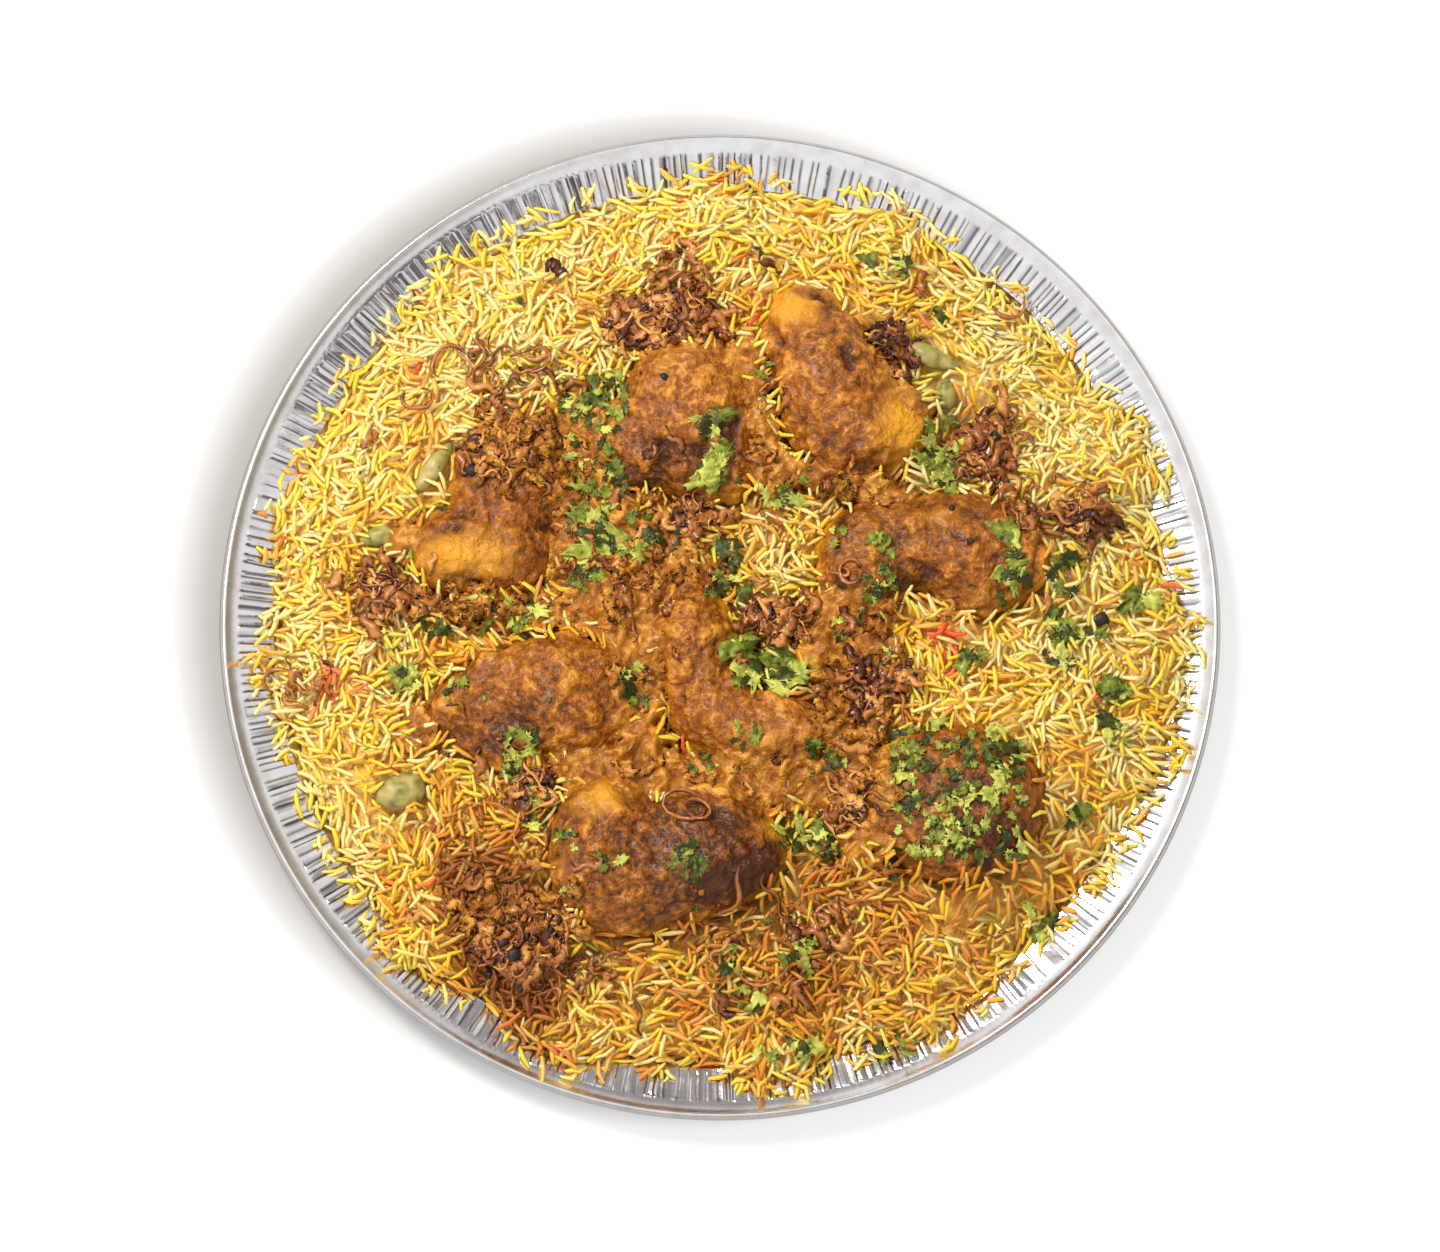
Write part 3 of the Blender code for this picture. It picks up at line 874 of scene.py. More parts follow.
@dataclass
class FoilTray:
    """The round tray: a flat base, a wall creased all round and a rolled rim."""

    base_radius: float = 190.0 * MM
    knee_radius: float = 204.0 * MM
    knee: float = 17.0 * MM
    knee_bend: float = 4.0 * MM
    wall_top_radius: float = 219.6 * MM
    wall_top: float = 21.6 * MM
    rim_profile: tuple[tuple[float, float, float], ...] = (
        (220.2, 21.78, 0.30), (220.9, 22.0, 0.20), (222.1, 22.55, 0.12), (223.2, 23.1, 0.06),
        (223.9, 23.5, 0.04), (224.7, 24.0, 0.02), (225.5, 24.55, 0.0), (226.3, 25.0, 0.0),
        (227.1, 24.6, 0.0), (227.9, 23.1, 0.0), (228.5, 21.5, 0.0), (228.1, 20.1, 0.0),
        (226.4, 19.1, 0.0), (223.6, 18.9, 0.0),
    )
    foil: float = 0.25 * MM
    base_level: float = 0.35 * MM
    centre_levels: tuple[float, float] = (0.45 * MM, 0.05 * MM)
    creases: int = 345
    crease_depth: float = 0.32 * MM
    calm_places: tuple[tuple[float, float, float, float], ...] = (
        (157.0, 0.08, 0.2, 0.0), (-42.0, 0.15, 0.5, 0.45),
    )
    # Span of the roll's outer side that is painted darker: painted shade.
    rim_shade_span: tuple[float, float] = (226.4 * MM, 227.8 * MM)
    flare_shares: tuple[float, ...] = (0.0, 0.08, 0.2, 0.36, 0.55, 0.74, 0.88, 0.96, 1.0)
    seed: int = 11
    finish: PressedAluminiumFoil = field(default_factory=PressedAluminiumFoil)

    def inner_height(self, radius: np.ndarray) -> np.ndarray:
        """Height of the tray's inside above the floor at each distance from its centre.

        Args:
            radius: The distances in metres.

        Returns:
            The heights in metres.
        """
        known = [0.0, self.base_radius, self.knee_radius, self.wall_top_radius]
        heights = [0.6 * MM, 0.6 * MM, self.knee, self.wall_top]
        for rim, level, _ in self.rim_profile[:7]:
            known.append(rim * MM)
            heights.append(level * MM)
        return np.interp(radius, known, heights)

    def crease_columns(self) -> tuple[np.ndarray, np.ndarray, np.ndarray, np.ndarray]:
        """Lays out the creases round the wall.

        Returns:
            For every column of points its angle, its crease height in metres, its lean in
            radians to a metre and the number of its crease.
        """
        rng = np.random.default_rng(self.seed)
        gaps = rng.lognormal(0.0, 0.30, self.creases)
        gap = gaps / gaps.sum() * 2 * math.pi
        after = np.roll(gap, -1)
        middle = np.cumsum(gap)
        calm = np.ones(self.creases)
        for bearing_deg, near, far, least in self.calm_places:
            apart = np.abs(np.angle(np.exp(1j * (middle - math.radians(bearing_deg)))))
            calm *= least + (1 - least) * step_between(apart, near, far)
        rise = self.crease_depth * rng.uniform(0.55, 1.25, self.creases) * (0.2 + 0.8 * calm)
        lean = np.minimum(gap, after) * np.clip(rng.normal(0.0, 0.08, self.creases), -0.14, 0.14)
        left = gap * rng.uniform(0.13, 0.26, self.creases)
        right = after * rng.uniform(0.13, 0.26, self.creases)
        angle = np.stack([middle - left, middle, middle + right, middle + after * 0.5], 1)
        tilt = rng.normal(0.0, 0.3, (3, self.creases))
        up = np.stack([rise * tilt[0], -rise, rise * tilt[1], rise * (0.15 + tilt[2])], 1)
        number = np.repeat(np.arange(self.creases), 4)
        return angle.ravel(), up.ravel(), np.repeat(lean, 4), number

    def skin(self, outside: bool) -> tuple[np.ndarray, int]:
        """Points of one side of the foil from the middle of the base to the rim's roll.

        Args:
            outside: Whether it is the underside, one foil thickness away.

        Returns:
            The points, row after row, and how many are in a row.
        """
        angle, up, lean, number = self.crease_columns()
        rng = np.random.default_rng(self.seed + 1)
        first = rng.uniform(-0.10, 0.16, self.creases)[number]
        last = rng.uniform(0.94, 1.08, self.creases)[number]
        under = self.foil if outside else 0.0
        points = []
        for share in (0.04, 0.93) if outside else (0.04, 0.6, 0.93):
            radius = self.base_radius * share
            level = self.base_level - under + 0 * angle
            points.append(np.stack([radius * np.cos(angle), radius * np.sin(angle), level], 1))
        slope = math.atan2(self.wall_top - self.knee, self.wall_top_radius - self.knee_radius)
        bend = (self.knee_radius - self.knee_bend, self.knee - self.knee_bend, 0.4)
        ends = [(self.base_radius, self.base_level, 0.0), bend]
        shares = self.flare_shares[::2] if outside else self.flare_shares
        for share in shares:
            radius = self.knee_radius + (self.wall_top_radius - self.knee_radius) * share
            ends.append((radius, self.knee + (self.wall_top - self.knee) * share**1.06, 1.0))
        for radius, level, crease in ends:
            share = (radius - self.knee_radius) / (self.wall_top_radius - self.knee_radius)
            fade = step_between(share + 0 * first, first - 0.1, first + 0.1) * crease
            fade = fade * (1 - 0.7 * step_between(share + 0 * last, last - 0.08, last))
            ring = flat_points(np.cos(angle) * radius, np.sin(angle) * radius)
            ripple = smooth_noise(ring, 0.009, self.seed)
            lift = up * fade * (1 + 0.4 * ripple) + 0.3 * MM * crease * ripple - under
            turn = angle + lean * share * crease
            out = radius - math.sin(slope) * lift
            rise = np.maximum(level + math.cos(slope) * lift, self.base_level - under)
            points.append(np.stack([out * np.cos(turn), out * np.sin(turn), rise], 1))
        return np.concatenate(points), len(angle)

    def bead(self) -> np.ndarray:
        """Points of the rolled rim, from inside over the top and round to its underside.

        Returns:
            The points, row after row.
        """
        angle, up, lean, _ = self.crease_columns()
        turn = angle + lean
        wobble = smooth_noise(flat_points(np.cos(turn) * 0.23, np.sin(turn) * 0.23), 0.05, 5)
        rows = []
        for rim, level, crease in self.rim_profile:
            dent = np.abs(up) * crease
            radius = rim * MM - dent * 0.6
            height = level * MM + dent * 0.8 + 0.12 * MM * np.minimum(wobble, 0)
            rows.append(np.stack([radius * np.cos(turn), radius * np.sin(turn), height], 1))
        return np.concatenate(rows)

    def build(self) -> bpy.types.Object:
        """Builds the tray as one closed sheet of foil.

        Returns:
            The piece that stands for the CAD tray.
        """
        inside, columns = self.skin(outside=False)
        outside, _ = self.skin(outside=True)
        outside = outside.reshape(-1, columns, 3)[::-1].reshape(-1, 3)
        rings = np.concatenate([inside, self.bead(), outside])
        rows = len(rings) // columns
        points, faces = capped(rings, columns, *self.centre_levels)
        mesh = mesh_of("foil_tray_sheet", points, faces)
        radius = np.hypot(points[faces, 0], points[faces, 1]).mean(axis=1)
        mesh.polygons.foreach_set("use_smooth", radius > self.wall_top_radius + 0.3 * MM)
        out = np.hypot(points[:, 0], points[:, 1])
        rolled = step_between(out, self.wall_top_radius, self.wall_top_radius + MM)
        # The rolled mark rises past 1 over the roll's outer side, where it paints shade.
        mark(mesh, "rolled", rolled + step_between(out, *self.rim_shade_span))
        # The fold mark darkens the bottoms of the creases: painted shade.
        _, up, _, _ = self.crease_columns()
        fold = np.zeros(len(points))
        fold[: rows * columns] = np.tile(np.clip(-up / self.crease_depth, 0, 1), rows)
        fold *= step_between(out, self.knee_radius - MM, self.knee_radius + MM)
        fold *= 1 - step_between(out, self.wall_top_radius - 0.5 * MM, self.wall_top_radius + MM)
        mark(mesh, "fold", fold)
        return place("tray_foil", mesh, self.finish.material(), "foil", ["foil_tray"])


# ---------------------------------------------------------------- heights over the tray


@dataclass
class Ground:
    """Heights over a square grid above the tray, which toppings settle on."""

    half_width: float = 240.0 * MM
    step: float = 1.0 * MM

    def __post_init__(self) -> None:
        """Lays the empty grid out."""
        self.count = int(round(2 * self.half_width / self.step)) + 1
        line = np.linspace(-self.half_width, self.half_width, self.count)
        self.x, self.y = np.meshgrid(line, line)
        self.height = np.zeros((self.count, self.count))

    def cell(self, x: np.ndarray, y: np.ndarray) -> tuple[np.ndarray, np.ndarray]:
        """Row and column of the grid cell nearest to each place.

        Args:
            x: The places, in metres.
            y: The places, in metres.

        Returns:
            The rows and the columns.
        """
        column = np.clip((x + self.half_width) / self.step + 0.5, 0, self.count - 1).astype(int)
        row = np.clip((y + self.half_width) / self.step + 0.5, 0, self.count - 1).astype(int)
        return row, column

    def at(self, layer: np.ndarray, x: np.ndarray, y: np.ndarray) -> np.ndarray:
        """Value of a layer of the grid at each place."""
        return layer[self.cell(x, y)]

    def cast(self, tree: BVHTree, low: Vector, high: Vector) -> np.ndarray:
        """Looks straight down on some faces.

        Args:
            tree: Search tree over the faces.
            low: Lowest corner of the box that holds them.
            high: Highest corner of that box.

        Returns:
            The height of the highest face over each cell, or -1 where there is none.
        """
        found = np.full((self.count, self.count), -1.0)
        first_row, first_column = self.cell(np.array(low.x), np.array(low.y))
        last_row, last_column = self.cell(np.array(high.x), np.array(high.y))
        down = Vector((0, 0, -1))
        for row in range(int(first_row), int(last_row) + 1):
            y = -self.half_width + row * self.step
            for column in range(int(first_column), int(last_column) + 1):
                x = -self.half_width + column * self.step
                spot = tree.ray_cast(Vector((x, y, 0.2)), down)[0]
                if spot is not None:
                    found[row, column] = spot.z
        return found

    def under(self, node: str) -> np.ndarray:
        """Looks straight down on a CAD node, as cast() does."""
        return self.cast(tree_over(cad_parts[node].data), *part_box(node))

    def height_at(self, x: np.ndarray | float, y: np.ndarray | float) -> np.ndarray:
        """The ground's height at each place."""
        return self.height[self.cell(np.asarray(x), np.asarray(y))]

    def raise_to(self, found: np.ndarray) -> None:
        """Raises the ground to the heights that were found."""
        self.height = np.maximum(self.height, found)


# ---------------------------------------------------------------- rice


@dataclass(frozen=True)
class Stain:
    """A place where something has coloured the rice, in millimetres."""

    x: float
    y: float
    along: float
    across: float
    turn_deg: float
    strength: float

    def at(self, x: np.ndarray, y: np.ndarray) -> np.ndarray:
        """How strongly each place in metres is stained.

        Args:
            x: The places, in metres.
            y: The places, in metres.

        Returns:
            0 where it is clean and the full strength in the middle.
        """
        turn = math.radians(self.turn_deg)
        dx, dy = x / MM - self.x, y / MM - self.y
        u = (dx * math.cos(turn) + dy * math.sin(turn)) / self.along
        v = (-dx * math.sin(turn) + dy * math.cos(turn)) / self.across
        return self.strength * np.exp(-(u * u + v * v))


def stained(stains: Iterable[Stain], x: np.ndarray, y: np.ndarray) -> np.ndarray:
    """How strongly several stains together colour each place in metres."""
    return sum((stain.at(x, y) for stain in stains), np.zeros_like(x))


@dataclass
class RiceHeap:
    """Loose boiled basmati over a packed core, out to an uneven edge on the tray's wall."""

    ground: Ground
    tray: FoilTray
    grain_length: float = 12.2 * MM
    grain_radius: float = 1.13 * MM
    core_depth: float = 8.0 * MM
    core_rings: int = 96
    core_sectors: int = 350
    core_sink: float = 3.8 * MM
    edge_slope: float = 0.7
    grains: int = 9600
    stray_grains: int = 260
    proud_grains: int = 1100
    low_detail_depth: float = 1.6 * MM
    hidden_depth: float = 5.0 * MM
    uncovered: str = "green_chilli_back"
    lip: float = 2.2 * MM
    fill_turns: int = 80
    edge_cells: int = 40
    meat_rings: int = 12
    tries: int = 9
    proud_tries: int = 3
    seed: int = 23
    masala_stains: tuple[Stain, ...] = made(Stain, (
        (-98, -150, 40, 18, 115, 2.9), (-100, -100, 36, 28, 20, 0.5), (-122, 110, 40, 20, 10, 0.3),
        (-158, 12, 24, 16, 40, 0.35), (152, 52, 26, 16, -20, 0.2), (60, -125, 66, 18, 5, 0.55),
        (-55, 150, 30, 14, 0, 0.25), (40, -168, 66, 30, 8, 0.62), (-40, 20, 36, 34, 0, 0.9),
        (50, -60, 16, 40, 0, 0.9), (10, -165, 120, 45, 0, 0.42), (150, -110, 50, 60, 40, 0.42),
        (-150, -120, 50, 30, -45, 0.2),
    ))
    # Paler rice: less dyed in most places, and painted light on the right side, which lifts the side
    # away from the key light.
    pale_and_lit_places: tuple[Stain, ...] = made(Stain, (
        (-110, 140, 75, 45, 45, 0.9), (20, 190, 110, 22, 0, 0.5), (25, 26, 16, 20, 0, 0.6),
        (150, 95, 70, 80, 0, 0.8), (-190, -30, 22, 70, 0, 0.5), (175, -60, 30, 60, 0, 0.35),
        (-175, -95, 25, 30, 0, 0.4),
    ))
    saffron_spots: tuple[Stain, ...] = made(Stain, (
        (105, -15, 11, 17, 10, 1.0), (2, 203, 6, 5, 0, 0.9), (205, 19, 5, 5, 0, 0.9),
        (-76, -199, 8, 4, 0, 0.8), (111, -195, 7, 4, 10, 0.8), (-57, 171, 7, 6, 0, 0.6),
        (-37, 178, 6, 6, 0, 0.5), (-12, 190, 6, 5, 0, 0.5), (-180, -31, 12, 9, 0, 0.55),
        (-124, -97, 10, 8, 0, 0.6), (-128, -116, 8, 6, 0, 0.6),
    ))

    def survey(self) -> None:
        """Finds the heap's top, its edge and the places that the meat covers."""
        ground = self.ground
        self.top = ground.under("rice_bed")
        self.covered = np.zeros_like(self.top, bool)
        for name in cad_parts:
            if name.startswith(("chicken", "green")):
                self.covered |= ground.under(name) > 0
        radius = np.hypot(ground.x, ground.y)
        self.wall = self.tray.inner_height(radius)
        self.inside = (self.top > 0) | self.covered
        self.bare = widened(ground.under(self.uncovered) > 0, 2)
        near = widened(self.covered, 2)
        known = np.where((self.top > 0) & ~near, self.top, np.nan)
        rings = (radius / (2 * MM)).astype(int)
        usual = np.array(
            [
                np.nanmean(known[rings == ring]) if np.isfinite(known[rings == ring]).any() else 0.0
                for ring in range(115)
            ]
        )
        usual[:12] = usual[usual > 0].max()
        target = np.where(np.isnan(known), usual[np.minimum(rings, 114)], known)
        blank = near & self.inside
        for _ in range(self.fill_turns):
            target = np.where(blank, blurred(target, own=0), target)
        inward = np.zeros_like(target)
        shrunk = self.inside.copy()
        for _ in range(self.edge_cells):
            shrunk = ~widened(~shrunk, 1)
            inward += shrunk * ground.step
        limit = self.wall.max() + 0.5 * MM + self.edge_slope * inward
        limit = np.where(shrunk, 1.0, np.maximum(limit - 3 * MM, self.wall + self.lip))
        target = np.minimum(np.maximum(target, self.wall + self.lip), limit)
        self.target = np.where(self.inside, target, self.wall)
        self.near_meat = np.zeros_like(target)
        reach = self.covered.copy()
        for ring in range(self.meat_rings):
            self.near_meat[reach & (self.near_meat == 0)] = 1 - ring / self.meat_rings
            reach = widened(reach, 2)
        core = np.minimum(self.target - self.core_depth, np.where(self.top > 0, self.top, 1.0))
        self.core_level = np.where(self.inside, np.maximum(core, self.wall), self.wall)

    def edge(self, angle: np.ndarray) -> np.ndarray:
        """Distance of the heap's edge from the centre in each direction.

        Args:
            angle: The directions in radians.

        Returns:
            The distances in metres.
        """
        radius = np.arange(150, 226) * MM
        spots = self.ground.cell(np.outer(np.cos(angle), radius), np.outer(np.sin(angle), radius))
        there = self.inside[spots]
        return radius[there.shape[1] - 1 - np.argmax(there[:, ::-1], axis=1)]

    def raise_core(self) -> None:
        """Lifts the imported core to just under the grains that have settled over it."""
        level = np.minimum(self.surface, self.target + MM) - self.core_sink
        level = np.where(self.covered | ~self.inside, self.core_level, level)
        for _ in range(3):
            level = blurred(level)
        self.core_level = np.maximum(self.core_level, level)

    def core(self) -> bpy.types.Object:
        """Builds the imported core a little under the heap's top.

        Returns:
            The piece that stands for the CAD rice.
        """
        angle = np.arange(self.core_sectors) / self.core_sectors * 2 * math.pi
        edge = self.edge(angle) - 6 * MM
        rows = []
        for share in np.sqrt(np.linspace(0.0004, 1.0, self.core_rings)):
            x, y = edge * share * np.cos(angle), edge * share * np.sin(angle)
            lumps = layered_noise(flat_points(x, y), 7 * MM, 2, self.seed)
            level = self.ground.at(self.core_level, x, y) + 0.3 * MM * lumps
            floor = self.tray.inner_height(np.hypot(x, y)) + 0.5 * MM
            rows.append(np.stack([x, y, np.maximum(level, floor)], 1))
        for share in (1.0, 0.6):
            x, y = edge * share * np.cos(angle), edge * share * np.sin(angle)
            rows.append(np.stack([x, y, self.tray.inner_height(np.hypot(x, y)) + 0.3 * MM], 1))
        top = rows[0][:, 2].mean()
        points, faces = capped(np.concatenate(rows), self.core_sectors, top, 0.9 * MM)
        mesh = mesh_of("rice_core", points, faces)
        x, y = points[:, 0], points[:, 1]
        masala = stained(self.masala_stains, x, y)
        masala = masala + 0.45 * self.ground.at(self.near_meat, x, y) ** 2
        mark(mesh, "grease", np.clip(0.8 * (masala - 0.45), 0, 0.8))
        mark(mesh, "pale", np.clip(0.9 * stained(self.pale_and_lit_places, x, y), 0, 0.85))
        return place("rice_core", mesh, PackedRice().material(), "rice", ["rice_bed"])

    def settle(self) -> dict[str, np.ndarray]:
        """Lets the grains fall one by one, each to rest on what lies under it.

        Returns:
            For all grains their places, headings, slopes, lengths and radii.
        """
        rng = np.random.default_rng(self.seed)
        ground = self.ground
        touch = np.maximum(self.core_level, ground.height) + self.grain_radius
        meat = ground.height > self.target - 1.5 * MM
        meat |= self.bare
        rows, columns = np.nonzero(self.inside & ~meat & ~widened(~self.inside, 3))
        edge_rows, edge_columns = np.nonzero(widened(self.inside, 3) & ~self.inside)
        total = self.grains + self.stray_grains + self.proud_grains
        out = np.zeros((total, 8))
        samples = np.linspace(-0.46, 0.46, 9)
        left = np.repeat(np.arange(4), 4)
        right = np.tile(np.arange(5, 9), 4)
        along = np.linspace(-0.5, 0.5, 16)
        offsets = np.array([-1.6, 1.6, -0.8, 0.8, 0.0]) * MM
        hump = np.sqrt(np.maximum((1.5 * self.grain_radius) ** 2 - offsets**2, 0))
        drift = layered_noise(flat_points(ground.x, ground.y), 38 * MM, 2, self.seed + 3)
        drift = drift.reshape(touch.shape) * 3.4
        unit, half, most = 1 / ground.step, ground.half_width, ground.count - 1
        full = self.target - 0.6 * MM
        for number in range(total):
            stray = self.grains <= number < self.grains + self.stray_grains
            proud = number >= self.grains + self.stray_grains
            if stray:
                pick = rng.integers(len(edge_rows))
                row, column = edge_rows[pick], edge_columns[pick]
            else:
                picks = rng.integers(len(rows), size=self.proud_tries if proud else self.tries)
                lack = full[rows[picks], columns[picks]] - touch[rows[picks], columns[picks]]
                best = picks[np.argmax(lack)]
                row, column = rows[best], columns[best]
            x = column * ground.step - half + rng.uniform(-0.5, 0.5) * ground.step
            y = row * ground.step - half + rng.uniform(-0.5, 0.5) * ground.step
            length = self.grain_length * rng.normal(1.0, 0.12)
            if stray:
                length *= rng.uniform(0.5, 1.0)
            heading = drift[row, column] + rng.normal(0, 0.75, 3)
            u = samples * length
            column_at = ((x + np.cos(heading)[:, None] * u + half) * unit + 0.5).astype(int)
            row_at = ((y + np.sin(heading)[:, None] * u + half) * unit + 0.5).astype(int)
            h = touch[np.clip(row_at, 0, most), np.clip(column_at, 0, most)]
            span = u[right] - u[left]
            level = (h[:, left] * u[right] - h[:, right] * u[left]) / span
            pairs = np.argmax(level, axis=1)
            pick = int(np.argmin(level[np.arange(3), pairs]))
            pair = pairs[pick]
            slope = (h[pick, right[pair]] - h[pick, left[pair]]) / span[pair]
            if proud:
                slope += rng.normal(0, 0.3)
            slope = min(0.8, max(-0.8, slope))
            z = float(np.max(h[pick] - slope * u)) - 0.45 * MM
            if proud and abs(slope) > 0.2:
                z -= 0.28 * abs(slope) * length
            angle = heading[pick]
            out[number] = (x, y, z, angle, slope, length, rng.normal(1.0, 0.1), rng.normal())
            run = along * length
            xs = x + math.cos(angle) * run - math.sin(angle) * offsets[:, None]
            ys = y + math.sin(angle) * run + math.cos(angle) * offsets[:, None]
            column_at = np.clip(((xs + half) * unit + 0.5).astype(int), 0, most)
            row_at = np.clip(((ys + half) * unit + 0.5).astype(int), 0, most)
            value = (z + slope * run)[None] + hump[:, None]
            touch[row_at, column_at] = np.maximum(touch[row_at, column_at], value)
        self.surface = touch - self.grain_radius
        names = ("x", "y", "z", "heading", "slope", "length", "fat", "bend")
        return {name: out[:, number] for number, name in enumerate(names)}

    def grain_bodies(
        self, grain: dict[str, np.ndarray], sides: int, widths: dict[float, float]
    ) -> tuple[np.ndarray, np.ndarray, np.ndarray]:
        """Makes bent spindles with rounded ends.

        Args:
            grain: Places and sizes of the grains.
            sides: How many corners go round a grain.
            widths: Its share of the full width at each share of its length.

        Returns:
            Points of each grain, triangles of one grain and each point's share of the length.
        """
        tilt = np.arctan(grain["slope"])
        cos_h, sin_h = np.cos(grain["heading"]), np.sin(grain["heading"])
        ahead = np.stack([cos_h * np.cos(tilt), sin_h * np.cos(tilt), np.sin(tilt)], 1)
        side = np.stack([-sin_h, cos_h, 0 * cos_h], 1)
        up = np.cross(ahead, side)
        centre = np.stack([grain["x"], grain["y"], grain["z"]], 1)
        radius = self.grain_radius * grain["fat"]
        points, shares = [], []
        for station, width in widths.items():
            run = (station - 0.5) * grain["length"]
            bow = (1 - (2 * station - 1) ** 2) - 0.5
            spine = centre + ahead * run[:, None] + side * (grain["bend"] * bow * 1.3 * MM)[:, None]
            spine = spine + up * (np.abs(grain["bend"]) * bow * 0.4 * MM)[:, None]
            for corner in range(sides if width else 1):
                turn = 2 * math.pi * corner / sides
                across = side * (radius * width * math.cos(turn))[:, None]
                above = up * (radius * width * 0.88 * math.sin(turn))[:, None]
                points.append(spine + across + above)
                shares.append(station)
        last = len(points) - 1
        faces = []
        for corner in range(sides):
            after = (corner + 1) % sides
            faces.append((0, 1 + after, 1 + corner))
            for ring in range(len(widths) - 3):
                a, b = 1 + ring * sides + corner, 1 + ring * sides + after
                faces += [(a, b, b + sides), (a, b + sides, a + sides)]
            faces.append((last - sides + corner, last - sides + after, last))
        return np.stack(points, 1), np.array(faces), np.array(shares)

    def grain_mesh(
        self, name: str, grain: dict[str, np.ndarray], dye: np.ndarray, grease: np.ndarray
    ) -> bpy.types.Mesh:
        """Makes one mesh of many grains, those deep in the heap with fewer faces.

        Args:
            name: Name of the mesh.
            grain: Places and sizes of the grains.
            dye: Depth of dye at each grain's two ends.
            grease: How much masala fat is on each grain.

        Returns:
            The mesh with its "dye" and "grease" marks.
        """
        deep = grain["depth"] > self.low_detail_depth
        points, faces, dyes, greases = [], [], [], []
        base = 0
        for chosen, sides, widths in (
            (~deep, 5, {0.0: 0.0, 0.07: 0.68, 0.5: 1.0, 0.93: 0.64, 1.0: 0.0}),
            (deep, 4, {0.0: 0.0, 0.12: 0.85, 0.88: 0.8, 1.0: 0.0}),
        ):
            part = {key: values[chosen] for key, values in grain.items()}
            body, triangles, shares = self.grain_bodies(part, sides, widths)
            count, each = body.shape[:2]
            points.append(body.reshape(-1, 3))
            numbers = triangles[None] + np.arange(count)[:, None, None] * each + base
            faces.append(numbers.reshape(-1, 3))
            base += count * each
            ends = dye[chosen]
            dyes.append((ends[:, :1] * (1 - shares) + ends[:, 1:] * shares).ravel())
            greases.append(np.repeat(grease[chosen], each))
        mesh = mesh_of(name, np.concatenate(points), np.concatenate(faces))
        mark(mesh, "dye", np.concatenate(dyes))
        mark(mesh, "grease", np.concatenate(greases))
        return mesh

    def kinds_of(self, grain: dict[str, np.ndarray]) -> tuple[np.ndarray, np.ndarray, np.ndarray]:
        """Says what has coloured each grain.

        Args:
            grain: Places of the grains.

        Returns:
            Each grain's kind by number, its dye at both ends and its grease.
        """
        rng = np.random.default_rng(self.seed + 9)
        x, y = grain["x"], grain["y"]
        count = len(x)
        blotch = layered_noise(flat_points(x, y), 26 * MM, 2, self.seed + 5)
        near = self.ground.at(self.near_meat, x, y)
        masala = stained(self.masala_stains, x, y)
        masala = masala + 0.45 * near**2 + 0.16 * blotch
        pale = stained(self.pale_and_lit_places, x, y)
        saffron = stained(self.saffron_spots, x, y)
        patch = layered_noise(flat_points(x, y), 11 * MM, 2, self.seed + 8)
        draw = rng.random((count, 5))
        weight = np.stack(
            [
                0.55 + 1.3 * pale - 0.5 * patch,
                0.85 + 0.3 * blotch + 0.5 * patch,
                0.40 + 1.0 * masala + 0.4 * blotch - 0.35 * pale,
                0.02 + 1.9 * np.maximum(masala - 0.45, 0),
                0.006 + 1.4 * saffron,
            ],
            1,
        )
        kind = np.argmax(np.maximum(weight, 1e-3) * (-1 / np.log(draw)) ** 0.9, axis=1)
        dye = 0.40 + 0.3 * blotch + 0.3 * patch + 0.35 * (masala - 0.3) - 0.3 * pale
        # Deeper grains take less dye and show paler: painted light that lifts the gaps between the top
        # grains.
        dye = dye + rng.normal(0, 0.14, count) - 0.2 * np.clip(grain["depth"] / (2 * MM), 0, 1)
        ends = np.clip(np.clip(dye, 0, 1)[:, None] + rng.normal(0, 0.16, (count, 2)), 0, 1)
        grease = np.clip(0.8 * (masala - 0.6) + rng.normal(0, 0.1, count), 0, 0.92)
        return kind, ends, grease

    def depth_of(self, grain: dict[str, np.ndarray]) -> np.ndarray:
        """How far the least covered part of each grain lies under the heap's surface.

        Args:
            grain: Places and sizes of the grains.

        Returns:
            The depths in metres.
        """
        depths = []
        for share in (-0.42, -0.21, 0.0, 0.21, 0.42):
            run = share * grain["length"]
            x = grain["x"] + np.cos(grain["heading"]) * run
            y = grain["y"] + np.sin(grain["heading"]) * run
            level = grain["z"] + grain["slope"] * run
            depths.append(self.ground.at(self.surface, x, y) - level)
        return np.min(depths, axis=0)

    def build(self) -> list[bpy.types.Object]:
        """Builds the core and the grains, one piece for each kind of grain.

        Returns:
            The pieces.
        """
        grain = self.settle()
        self.raise_core()
        pieces = [self.core()]
        grain["depth"] = self.depth_of(grain)
        seen = grain["depth"] < self.hidden_depth
        grain = {name: values[seen] for name, values in grain.items()}
        kind, dye, grease = self.kinds_of(grain)
        for number, sort in enumerate(RiceKind):
            chosen = kind == number
            part = {name: values[chosen] for name, values in grain.items()}
            name = f"rice_grains_{sort.name.lower()}"
            mesh = self.grain_mesh(name, part, dye[chosen], grease[chosen])
            pieces.append(place(name, mesh, BoiledRice(sort).material(), "rice", ["rice_bed"]))
            LOG.info("%s: %d grains", name, int(chosen.sum()))
        rice = np.where(self.inside, self.surface, self.wall)
        over = (rice - self.target)[self.inside & ~self.covered]
        LOG.info("rice: %.2f mm over the heap's top on average", float(over.mean()) / MM)
        self.ground.raise_to(rice)
        return pieces


# ---------------------------------------------------------------- chicken


